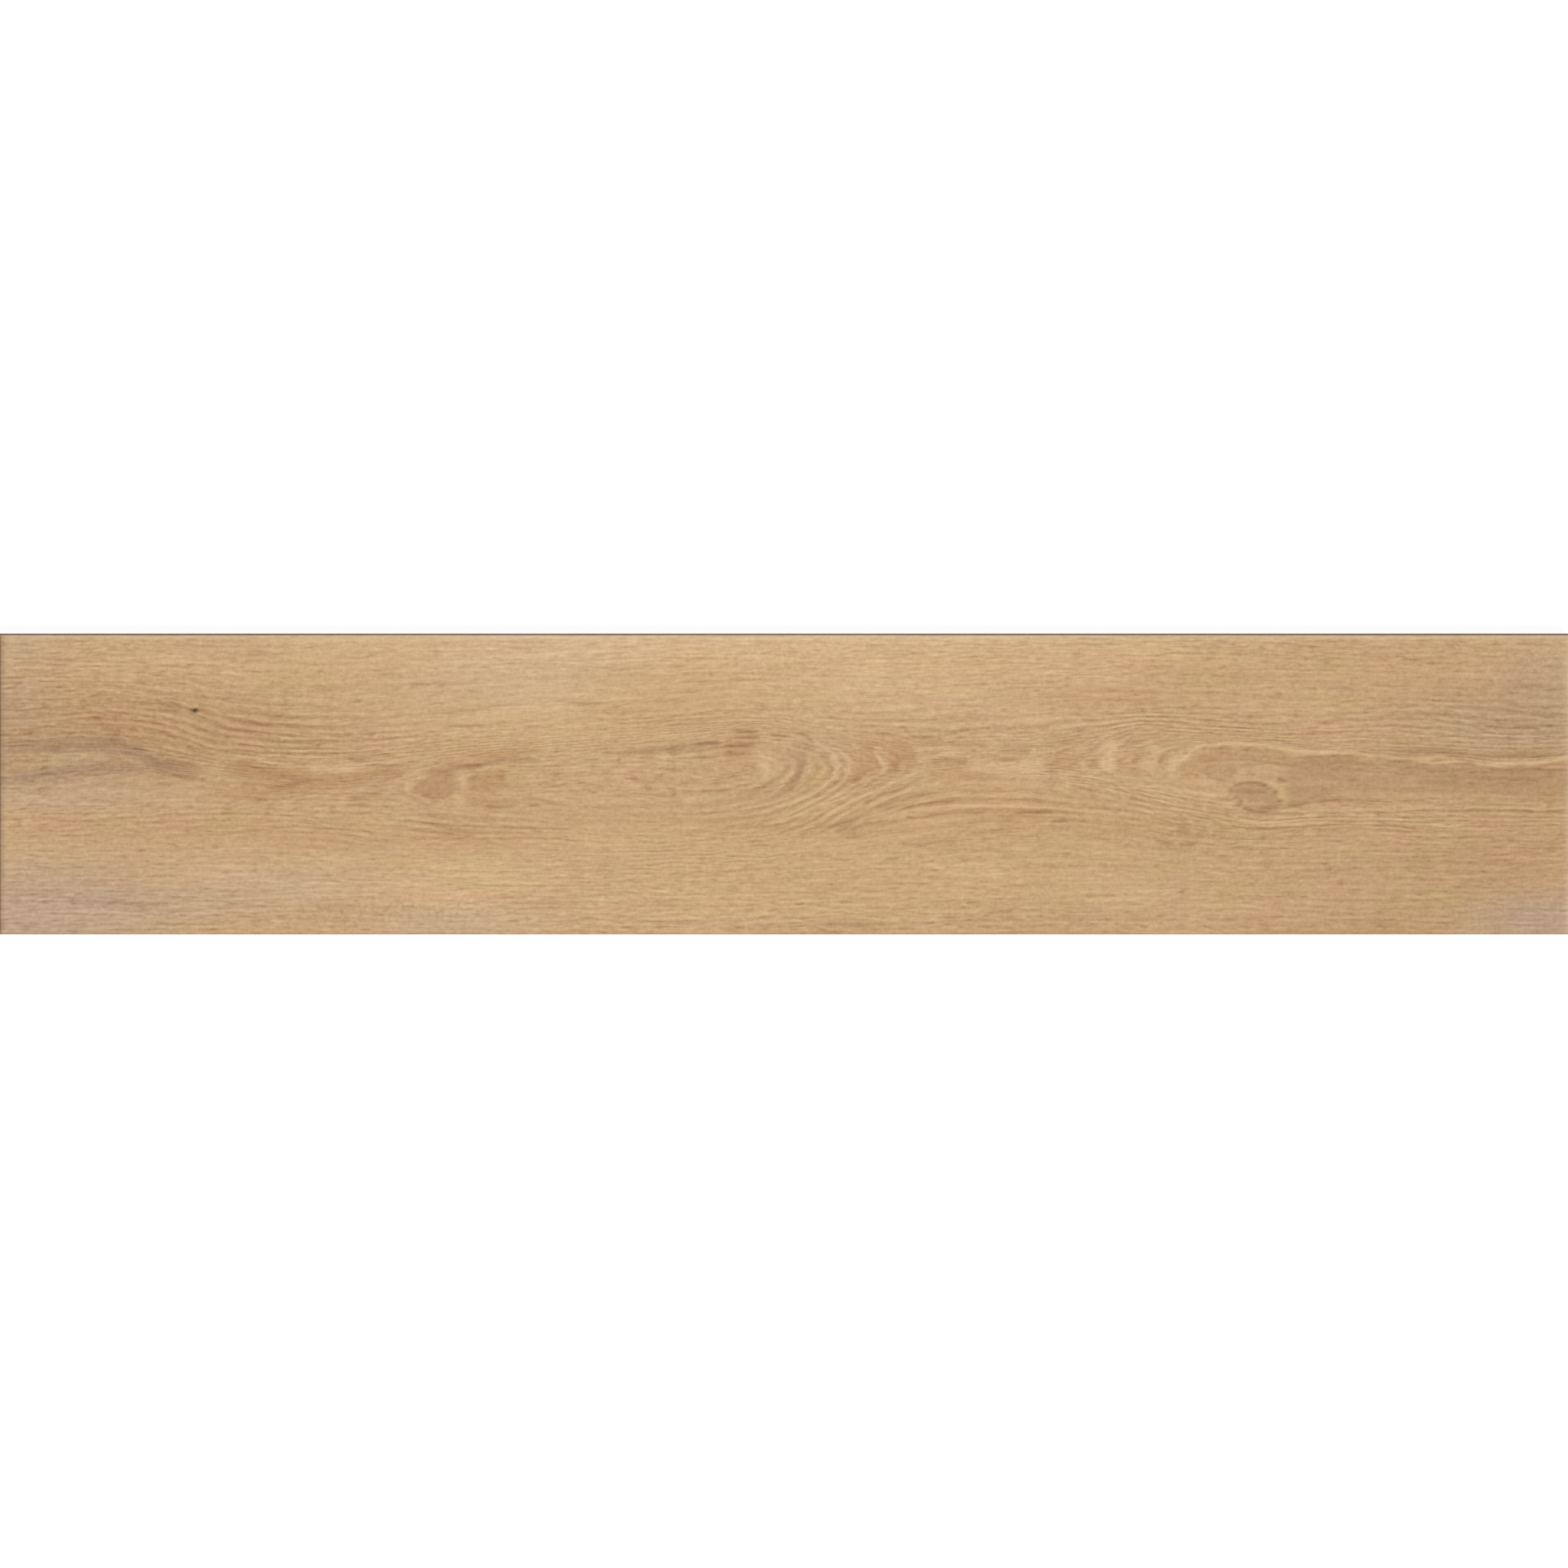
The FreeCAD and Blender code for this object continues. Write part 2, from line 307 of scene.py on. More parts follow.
# Where the print is mottled rather than streaked: x, y, half length, half height, strength
MOTTLE_ZONES = [
    (-10, 92, 60, 18, 0.6), (560, 88, 60, 24, 0.75), (-300, -95, 90, 14, 0.8), (-340, 85, 70, 20, 0.5),
    (-20, -45, 30, 8, 0.7), (440, 72, 50, 8, 0.6), (-365, 5, 45, 8, 0.5), (-262, 0, 16, 10, 0.6),
    (0, 16, 26, 18, 0.6), (63, 18, 11, 14, 0.5), (89, 18, 11, 12, 0.4), (322, 11, 18, 11, 0.5),
    (352, 23, 42, 6, 0.6), (361, -10, 20, 11, 0.8), (410, 4, 32, 14, 0.6), (520, 5, 70, 9, 0.4),
]
LEAST_MOTTLE = 0.22

# Where the streaks are fainter, or livelier: x, y, half length, half height, share taken off
CALM_ZONES = [
    (-310, -56, 210, 28, 0.26), (-165, 2, 70, 26, 0.22), (470, -78, 150, 44, 0.3), (555, -10, 80, 34, 0.26),
    (-510, -34, 80, 18, 0.16), (520, 62, 110, 30, 0.12), (-290, 92, 70, 18, 0.14), (370, 92, 120, 18, 0.16),
    (-140, -44, 50, 12, 0.14), (150, -42, 60, 14, -0.24), (235, 4, 60, 28, -0.22), (140, 62, 80, 22, -0.2),
    (-350, 70, 60, 14, -0.28), (-450, 66, 50, 12, -0.14), (-165, 8, 60, 20, -0.12),
]

# Lighter and darker areas of the board: x, y, half length, half height, change
TONE_ZONES = [
    (-600, 40, 110, 45, -0.1), (-470, 40, 90, 30, -0.12), (-220, 85, 150, 45, 0.17), (85, 95, 170, 35, 0.2),
    (0, -85, 300, 40, 0.06), (-560, -8, 60, 9, 0.05), (590, 40, 110, 45, -0.11), (590, -40, 120, 30, -0.1),
    (550, -95, 150, 30, -0.03), (440, -12, 40, 7, -0.1), (-297, 1, 15, 12, -0.04), (110, -26, 24, 6, 0.12),
    (200, -27, 30, 6, 0.05), (310, -30, 90, 12, -0.06), (-360, 50, 60, 25, -0.04), (-500, 92, 70, 20, 0.06),
    (-290, 72, 60, 20, -0.07), (-60, 76, 120, 13, -0.03), (-345, 28, 55, 16, -0.05), (32, 0, 26, 9, -0.07),
    (95, -20, 35, 9, -0.04), (-340, -66, 150, 20, 0.06), (430, -82, 130, 28, -0.05),
    (210, -104, 60, 12, -0.07), (440, 20, 90, 7, -0.09), (-60, -42, 120, 9, 0.05),
    (-225, -76, 40, 20, 0.05), (150, 3, 60, 14, 0.03), (-540, 48, 50, 16, 0.03), (360, 42, 60, 10, -0.05),
    (150, 20, 25, 8, 0.04), (360, -42, 60, 10, -0.04), (585, -75, 40, 25, -0.03), (555, 6, 40, 6, -0.05),
    (-138, 87, 28, 8, -0.12), (-571, 21, 22, 5, 0.08), (-305, -28, 26, 5, 0.07), (-263, -88, 26, 6, 0.07),
    (-151, -8, 26, 5, 0.07), (283, 102, 26, 7, 0.07), (143, -63, 26, 6, 0.07), (-137, 57, 24, 5, -0.07),
    (14, -8, 18, 5, -0.06), (171, -8, 28, 5, 0.06), (-417, -73, 26, 6, 0.06), (-207, -108, 30, 6, 0.07),
    (60, -110, 70, 6, -0.08), (440, -110, 90, 6, -0.07), (-263, -108, 26, 6, 0.05),
    (-319, -48, 24, 6, -0.06), (-361, 107, 26, 6, 0.05), (-389, 47, 20, 5, -0.07), (172, 78, 50, 10, -0.06),
    (171, -109, 26, 6, -0.06), (15, 92, 24, 8, -0.07), (269, -83, 26, 6, 0.06), (-529, -28, 28, 5, -0.06),
    (339, 92, 26, 6, 0.06), (101, 2, 12, 4, -0.06), (577, 17, 22, 5, -0.06),
]

# Soft washes of one pigment: x, y, half length, half height, strength
WASHES = {
    "ash": [
        (-575, -95, 90, 34, 0.75), (-560, -8, 70, 12, 0.45), (-545, 18, 60, 7, 0.3),
        (-470, -92, 90, 12, 0.35), (-595, 60, 30, 20, 0.4), (-250, -104, 60, 10, 0.4),
        (585, -103, 54, 18, 0.74), (585, 84, 30, 24, 0.35), (560, 45, 70, 22, 0.35),
        (-210, 84, 70, 22, 0.3), (-150, 104, 46, 12, 0.18), (-385, -75, 60, 14, 0.35),
        (-585, 102, 24, 12, 0.4), (30, 28, 14, 9, 0.22),
    ],
    "cream": [(-150, 104, 46, 12, 0.3)],
    "russet": [
        (-70, 78, 50, 16, 0.16), (-235, 22, 44, 14, 0.15), (-90, 50, 44, 8, 0.18),
        (-250, -40, 55, 12, 0.22), (-400, -35, 90, 8, 0.2), (250, 66, 60, 8, 0.25), (130, 94, 90, 14, 0.12),
        (0, -32, 60, 8, 0.18), (150, -12, 60, 8, 0.15), (310, 90, 60, 12, 0.12), (130, -15, 90, 24, 0.1),
    ],
    "honey": [
        (60, -82, 140, 22, 0.35), (110, -38, 270, 24, 0.35), (-110, 60, 110, 25, 0.25),
        (-300, 88, 60, 22, 0.2), (380, 85, 120, 22, 0.15),
    ],
}

# How an oval zone and a stroke fade: half is left at their half size, and a higher power fades later
HALVING = 0.7
ZONE_CRISPNESS = 1.3
STROKE_CRISPNESS = 2.4

# How a stroke tapers to its ends, and its width there as a share of its middle
TAPER_POWER = 0.35
END_WIDTH = 0.55

# How finely a stroke's path is rounded, and how far its pigment and a patch's are worked out
STROKE_STEPS = 10
STROKE_REACH = 2.6
PATCH_REACH = 5.0

# Outlines and paths that two pigments share
ARROW_TIP = [
    (-282.6, -3.6), (-277, 3.2), (-269, 8), (-262, 9.6), (-255, 9), (-250, 5), (-250, -1), (-249, -4.6),
    (-255, -8.6), (-263, -10.4), (-271, -9.6), (-277, -6.4),
]
LOWER_FLOW = [
    (-700, 0), (-650, 1), (-610, 3), (-585, 4.5), (-562, 8), (-535, 10), (-505, 10.5), (-485, 12),
]
EYE_SHADE = [(2, 28), (8, 22), (12, 14)]

# Printed patches of the figure by pigment: strength, softness of the edge, and points round the outline
FILLED_PATCHES = {
    "russet": [
        (0.4, 1.0, [
            (-425, 13), (-416, 18.4), (-406, 16.6), (-396, 13.6), (-384, 12.6), (-370, 11), (-352, 9),
            (-334, 8), (-322, 7), (-318, 3), (-326, -1), (-344, -3), (-360, -5), (-376, -4), (-390, -1),
            (-400, 2), (-412, 5), (-421, 8),
        ]),
        (0.26, 1.4, [
            (-330, 8), (-318, 12), (-304, 13), (-292, 14), (-284, 15), (-288, 10), (-296, 5), (-306, 3),
            (-318, 2), (-328, 2),
        ]),
        (0.22, 2.0, [
            (-440, -4), (-420, -3), (-396, -2), (-370, -4), (-356, -6), (-360, -11), (-390, -12),
            (-430, -12),
        ]),
        (0.34, 0.6, ARROW_TIP),
        (0.38, 0.9, [
            (-240, 4), (-234, 8.6), (-224, 9), (-214, 7.6), (-212, 1), (-213, -4), (-222, -5.4),
            (-232, -6.2), (-239, -3),
        ]),
        (0.3, 0.7, [
            (-48, 24), (-46, 31), (-40, 36), (-38, 42), (-28, 43), (-19, 41), (-19.4, 33), (-24, 28),
            (-25, 22), (-34, 20.6), (-44, 20.6),
        ]),
        (0.16, 1.2, [(-48, 19), (-36, 19), (-24, 20), (-22, 13), (-24, 6), (-32, 1), (-44, 3), (-49, 10)]),
        (0.36, 0.6, [
            (57, 33), (64, 34), (70, 31), (69, 26), (68, 23.4), (71, 19), (74.4, 13), (70, 8.6), (66, 4.6),
            (60, 1), (55, 2), (53, 8), (57, 13), (53, 19), (56, 24), (59, 28),
        ]),
        (0.3, 0.6, [
            (78, 33), (88, 33), (96, 30), (98, 25), (99.4, 20), (98.6, 13.4), (94, 8.6), (88, 6), (82, 9),
            (80, 14), (77, 20), (80, 26),
        ]),
        (0.27, 1.0, [
            (110, 22), (120, 23), (134, 21), (142, 18), (140, 12), (142, 7), (134, 4), (122, 4.4), (113, 7),
            (116, 11), (113, 15), (109, 18),
        ]),
        (0.16, 0.9, [
            (258, 28), (262, 34), (270, 39), (284, 40), (297, 38), (296, 32), (290, 30), (284, 31),
            (277, 29), (274, 24), (266, 22), (260, 24),
        ]),
        (0.12, 0.8, [(286, 20), (289, 24), (293, 22), (292, 14), (294, 6), (290, 2), (287, 8)]),
        (0.34, 0.8, [
            (304, 9), (308, 17), (316, 23), (326, 27), (343, 28.6), (362, 28), (376, 25.6), (385, 22),
            (386, 17), (376, 17.6), (362, 19), (344, 20), (330, 19), (322, 16), (320, 9), (316, 3),
            (308, 3),
        ]),
    ],
    "ash": [(0.22, 2.0, [(-330, 0), (-316, 2), (-304, 1), (-298, -3), (-304, -8), (-314, -6), (-326, -4)])],
    "umber": [
        (0.12, 0.6, ARROW_TIP),
        (0.28, 1.4, [(322, 14), (332, 15), (344, 12), (345, 6), (336, 3.4), (324, 4)]),
        (0.22, 1.1, [
            (384, 16), (390, 20), (402, 21.4), (420, 21.6), (440, 19), (460, 16.4), (480, 16.4), (500, 15),
            (520, 15), (540, 12), (560, 10.6), (584, 12), (640, 14), (640, -8), (560, -7), (500, -6),
            (450, -5), (426, -4), (414, -9), (398, -14), (385, -15.6), (384, -6), (385, 2), (387, 8),
        ]),
        (0.24, 0.45, [
            (341, -7), (343, -3), (347, 0), (354, 1), (362, 1), (369, -1), (374, -5.4), (377.6, -10.6),
            (378.6, -17), (374.6, -20.8), (366, -21.6), (358, -21.4), (351.6, -19), (349, -13.6),
            (343.6, -11),
        ]),
    ],
    "cream": [
        (0.42, 1.1, [(-20, 20), (-12, 22), (-8, 17), (-10, 11), (-14, 7), (-19, 9), (-21, 14)]),
        (0.26, 1.3, [
            (152, 12), (166, 14), (178, 15), (186, 20), (196, 21.6), (201, 16), (198, 9), (199, 4),
            (188, 2.6), (176, 4), (164, 6), (154, 6),
        ]),
        (0.52, 1.0, [
            (244, 30), (251, 33), (254, 27), (252, 20), (253, 12), (247, 9), (241, 12), (243, 18),
            (246, 22), (242, 26),
        ]),
        (0.46, 0.9, [(278, 27.6), (284, 29.6), (290, 27), (288, 22), (281, 22)]),
        (0.42, 0.9, [(269, 15), (276, 18), (283, 16), (282, 11), (274, 10)]),
        (0.42, 0.8, [(294, 19), (300, 22), (308, 21), (304, 17), (299, 12), (300, 6), (296, 4), (294, 12)]),
    ],
}

# Printed strokes of the figure, by the place where they lie on the board and then by pigment:
# strength, half width at its middle, and the points along it
DARK_FLOW = {
    "ash": [
        (0.4, 5.8, [
            (-700, 29), (-650, 29), (-610, 29), (-575, 28.5), (-545, 29), (-515, 30), (-500, 27),
            (-487, 20), (-474, 14), (-455, 9),
        ]),
        (0.45, 4.4, LOWER_FLOW),
    ],
    "umber": [
        (0.26, 4.6, [
            (-700, 29), (-650, 29), (-610, 29), (-575, 28.5), (-545, 29), (-515, 30), (-500, 27.5),
            (-488, 21), (-474, 14),
        ]),
        (0.1, 1.6, [(-548, 31), (-525, 31.5), (-508, 30.5), (-494, 26), (-484, 19)]),
        (0.18, 1.0, [(-608, 34), (-590, 33.5), (-570, 32)]),
        (0.16, 1.2, [(-600, 26), (-575, 25.6), (-550, 26.4)]),
        (0.28, 4.4, LOWER_FLOW),
        (0.18, 1.3, [(-582, 5), (-560, 8), (-548, 9)]),
        (0.06, 1.2, [(-545, 12.5), (-522, 12), (-500, 13)]),
        (0.34, 5.0, [(-490, 18), (-480, 14.5), (-468, 12.5), (-455, 10), (-445, 6)]),
        (0.26, 1.5, [(-484, 17), (-474, 15), (-462, 15), (-450, 14)]),
        (0.26, 1.2, [(-482, 12), (-470, 8), (-458, 5), (-446, 3)]),
        (0.3, 0.9, [(-479, -0.4), (-470, -0.2), (-464, 0.2)]),
        (0.2, 1.8, [(-603, 18), (-596, 15), (-586, 14)]),
        (0.36, 1.3, [(-443, 52), (-436, 47), (-428, 43.4), (-418, 41), (-405, 38.6)]),
        (0.3, 1.3, [(-426, 51), (-416, 48), (-406, 46.4), (-386, 44)]),
        (0.3, 1.0, [(-462, 33), (-455, 29), (-448, 26.4), (-440, 24.6)]),
        (0.24, 0.9, [(-456, 26.5), (-449, 23.6), (-441, 21.5)]),
    ],
    "honey": [(0.5, 3.0, [(-518, 15), (-506, 16.5), (-494, 15)])],
    "cream": [
        (0.26, 2.2, [(-564, 21), (-540, 21), (-518, 21)]),
        (0.22, 4.0, [(-440, 12), (-434, 8), (-428, 4)]),
        (0.42, 0.8, [
            (-442, 51), (-436, 47.8), (-416, 42.4), (-400, 41), (-386, 40), (-360, 37.5), (-342, 35),
        ]),
        (0.4, 0.8, [(-440, 40), (-430, 36.6), (-421, 34), (-410, 32.8), (-399, 32)]),
        (0.36, 0.8, [(-452, 34.4), (-445, 31), (-438, 28.2), (-427, 26.4)]),
        (0.34, 0.8, [(-438, 56), (-426, 53.4), (-414, 51.4)]),
        (0.36, 0.8, [(-421, 53.2), (-400, 49.4), (-377, 46.4), (-342, 45.6)]),
        (0.36, 0.9, [(-380, 25.4), (-360, 26.2), (-330, 27.6), (-300, 28.8)]),
        (0.3, 0.9, [(-372, 20), (-356, 20.2), (-340, 20.6)]),
    ],
}

RUSSET_FLOW = {
    "umber": [
        (0.3, 1.6, [(-404, 11), (-392, 8), (-380, 5), (-366, 3), (-350, 3)]),
        (0.44, 1.2, [(-396, -3), (-384, -2), (-374, 0), (-362, 1.6)]),
        (0.2, 1.1, [(-414, 15), (-404, 13.6), (-394, 11)]),
        (0.28, 0.9, [(-424, -11), (-408, -12), (-392, -12), (-380, -11)]),
        (0.42, 0.9, [(-334, -15.4), (-326, -15.8), (-316, -16.6)]),
        (0.28, 1.8, [(-333, 19), (-322, 18.6), (-310, 19)]),
        (0.4, 1.0, [(-322, 12.6), (-313, 14.4), (-302, 13.8), (-291, 16), (-279, 17.8)]),
        (0.2, 1.2, [(-312, 8), (-300, 8.6), (-290, 11)]),
    ],
    "russet": [
        (0.3, 3.0, [(-424, -6), (-404, -6), (-384, -5), (-366, -5)]),
        (0.34, 3.0, [(-337, -12), (-326, -11), (-316, -9), (-304, -4)]),
        (0.24, 2.0, [(-360, 23), (-344, 23), (-326, 24)]),
    ],
    "cream": [
        (0.56, 0.8, [(-430, 25.4), (-414, 21.6), (-403, 19), (-392, 16.4), (-380, 14.4), (-368, 12.6)]),
        (0.6, 2.3, [(-368, 12), (-352, 12), (-338, 12), (-326, 12.4), (-318, 15)]),
        (0.38, 0.8, [(-316, 16.4), (-300, 16.6), (-286, 18.2), (-270, 20.2)]),
    ],
}

ARROWHEAD = {
    "umber": [
        (0.48, 1.7, [
            (-270, 8.6), (-260, 9.8), (-250, 12.6), (-239, 14), (-229, 15.6), (-217, 18), (-204, 19.2),
        ]),
        (0.4, 0.9, [(-246, 13.4), (-238, 14.2), (-230, 15)]),
        (0.42, 1.0, [(-203, 18.8), (-196, 19), (-187, 19)]),
        (0.3, 0.9, [(-280, -5.6), (-274, -9), (-265, -10.8), (-255, -9)]),
        (0.46, 0.9, [(-230, -16.4), (-219, -17.4), (-205, -18)]),
        (0.4, 0.9, [(-198, -17.4), (-192, -16.4), (-187, -15.6)]),
        (0.38, 0.9, [(-200, -9.6), (-188, -12), (-174, -14.6)]),
        (0.36, 1.2, [(-232, 9), (-238, 5), (-240, 0), (-237, -4), (-230, -6)]),
        (0.3, 1.2, [(-228, 5.6), (-219, 6), (-212, 3.6)]),
        (0.26, 1.2, [(-226, -0.6), (-218, -1), (-210, -0.4)]),
        (0.34, 0.9, [(-290, -27), (-275, -29), (-264, -32), (-252, -34.6), (-228, -36)]),
        (0.3, 0.9, [(-284, -23), (-270, -24.6), (-256, -28), (-238, -30.6)]),
        (0.28, 0.9, [(-276, -36), (-258, -38.5), (-238, -40)]),
    ],
    "russet": [
        (0.36, 2.4, [(-242, 23), (-226, 23.6), (-208, 25), (-188, 25)]),
        (0.22, 2.0, [(-236, 20), (-222, 21), (-206, 22.4)]),
        (0.36, 3.8, [(-244, -12), (-232, -13.4), (-218, -14.6), (-202, -14)]),
    ],
    "honey": [(0.44, 2.4, [(-256, -9.6), (-250, -11), (-242, -11.4)])],
    "cream": [
        (0.34, 2.4, [(-247, 8), (-244.6, 3), (-245, -2)]),
        (0.16, 2.2, [(-288, 5), (-289, -1), (-286, -8)]),
        (0.46, 0.8, [(-176, 8.6), (-162, 10.4), (-150, 11.4), (-140, 13)]),
    ],
}

EYE = {
    "umber": [
        (0.3, 1.3, [(-140, 23.6), (-124, 24.2), (-110, 24.6), (-98, 25.8)]),
        (0.42, 2.4, [(-112, 24.6), (-101, 25.6), (-87, 27), (-73, 28.6), (-61, 30.2), (-48, 31.6)]),
        (0.5, 1.1, [(-66, 30.2), (-56, 31), (-46, 31.9)]),
        (0.4, 0.9, [(-72, 24.2), (-59, 26.4), (-47, 27.9), (-38, 29.3)]),
        (0.34, 0.9, [(-78, 20), (-59, 20.7), (-46, 22.2)]),
        (0.52, 1.5, [(-47, 29.4), (-38, 29.2), (-29, 30), (-22, 31)]),
        (0.48, 1.2, [(-47, 22.8), (-38, 22.6), (-29, 23)]),
        (0.52, 0.9, [(-39, 35.6), (-29, 35.6), (-19, 36)]),
        (0.46, 1.0, [(-39, 39.6), (-29, 40.2), (-18, 40.4)]),
        (0.6, 0.9, [(-11, 38.2), (-4, 37.4), (4, 36.4)]),
        (0.52, 0.9, [(3, 39.4), (11, 38.6), (18, 35.4), (22, 31)]),
        (0.3, 0.9, [(12, 34), (18, 29), (21, 25)]),
        (0.3, 3.0, [(13, 27), (14, 20), (13, 12), (8, 4), (3, -2), (-4, -8), (-12, -13)]),
        (0.2, 1.6, [(11, 16), (13, 9), (8, 2), (2, -4)]),
        (0.2, 1.6, [(-4, 5), (-10, 1), (-17, -4), (-24, -8)]),
        (0.44, 0.9, [(36, 14), (37, 9), (34, 2), (28, -3), (20, -8.4)]),
        (0.26, 1.4, [(26, 32), (31, 26), (34, 20)]),
        (0.24, 1.0, [(45, 20), (45, 10), (40, 2), (30, -6)]),
        (0.26, 0.9, [(30, -13), (18, -18.4), (4, -24.4)]),
    ],
    "russet": [
        (0.26, 3.0, [(-62, -3), (-54, -3), (-46, -4)]),
        (0.16, 8.0, EYE_SHADE),
    ],
    "cream": [
        (0.46, 1.2, [(-6, 13), (-12, 7), (-20, 1), (-27, -4), (-34, -8)]),
        (0.44, 1.1, [(6, 15), (7, 10), (2, 4), (-3, -2), (-9, -9)]),
        (0.36, 1.0, [(16, 10), (14, 2), (8, -5), (0, -10)]),
        (0.68, 1.1, [
            (20, 34), (30, 28), (37, 23.6), (41, 17), (41, 12), (38, 6), (31, -1), (24, -6.4), (14, -11.6),
            (4, -15), (-8, -18),
        ]),
        (0.62, 1.2, [
            (41, 27), (48, 21), (50, 13), (47, 5), (39, -3.6), (27, -10.7), (13, -18), (-1, -25), (-9, -28),
        ]),
        (0.3, 0.9, [(48, 34), (55, 27), (57, 18)]),
        (0.4, 1.0, [(68, 5), (54, -0.7), (41, -8), (27, -15), (19, -19), (6, -25), (-6, -29)]),
    ],
    "ash": [(0.2, 8.0, EYE_SHADE)],
    "honey": [(0.36, 4.0, [(26, 18), (28, 9), (24, 2)])],
}

HERRINGBONE = {
    "umber": [
        (0.34, 0.9, [(67, 24), (71, 19), (74, 13.6)]),
        (0.2, 2.0, [(64, 12), (58, 6), (52, 1)]),
        (0.34, 0.9, [(98, 27), (99.4, 21), (99, 14)]),
        (0.26, 1.2, [(82, 25), (86, 20), (88, 14)]),
        (0.34, 0.9, [(93, 5), (84, 1), (74, -4), (62, -9)]),
        (0.4, 0.9, [(97, -0.6), (88, -4), (78, -7.4), (68, -11.6)]),
        (0.3, 1.1, [(120, -6.4), (108, -8), (98, -9.6), (84, -14), (70, -19)]),
        (0.34, 0.8, [(132, -12.6), (116, -14), (100, -17), (86, -20.6)]),
        (0.24, 2.0, [(113, 17), (122, 18.6), (132, 18), (142, 17.6)]),
        (0.32, 0.9, [
            (90, 43), (94, 38.8), (101, 36.6), (116, 36.4), (127, 38.4), (138, 40.4), (156, 43.6),
        ]),
        (0.27, 1.1, [(163, 19.6), (172, 18.4), (178, 19)]),
        (0.2, 3.0, [(164, 27), (176, 26), (190, 25)]),
        (0.3, 0.8, [(197, 0.6), (203, 0.4), (209, 1)]),
        (0.2, 1.2, [(205, 22), (213, 24.5), (224, 26)]),
        (0.34, 1.0, [(257, 25), (261, 31), (266, 36)]),
    ],
    "cream": [
        (0.76, 1.4, [(70, 26), (69, 23.6), (73, 18.6), (77.6, 12.6), (74, 8.6), (67, 3.6), (60, -2)]),
        (0.56, 1.0, [(66, 2.8), (58, -3), (48.6, -8), (38.6, -13), (24, -20)]),
        (0.64, 1.1, [
            (102, 19), (108, 14), (101, 9), (91, 3.6), (81, 0), (71, -5.7), (58, -10), (44, -17), (32, -23),
        ]),
        (0.5, 1.6, [(103, 17), (114, 21), (126, 23), (138, 24.4)]),
        (0.44, 1.0, [
            (134, 2), (122, 1.4), (110, -0.4), (98, -4), (84, -9), (68, -15), (54, -20), (40, -26),
        ]),
        (0.44, 0.9, [(140, -8.6), (124, -10), (106, -13.4), (90, -17.6), (74, -22.4), (58, -27)]),
        (0.5, 0.9, [(206, -18), (180, -17.4), (150, -16.6), (130, -16.2), (114, -17.6), (98, -20.6)]),
        (0.3, 1.3, [(100, 27), (112, 27), (126, 27)]),
        (0.34, 1.6, [(208, 8.4), (224, 8), (240, 5), (258, 1.5), (276, -3)]),
    ],
    "russet": [
        (0.34, 3.0, [(98, 32), (116, 31.6), (138, 30.6), (156, 29)]),
        (0.44, 1.7, [(138, 6), (152, 6.4), (166, 6)]),
        (0.4, 0.9, [(138, 3.6), (146, 4), (154, 4)]),
        (0.4, 0.9, [(134, -5.6), (150, -5.8), (166, -5.8), (180, -5.4)]),
        (0.3, 4.6, [(198, 11), (206, 13), (214, 16), (224, 20)]),
        (0.3, 3.0, [(198, 35), (216, 33), (232, 31)]),
        (0.3, 3.4, [(257, 19), (262, 14), (270, 9)]),
    ],
    "honey": [(0.36, 3.0, [(162, 23), (176, 23), (192, 23)])],
}

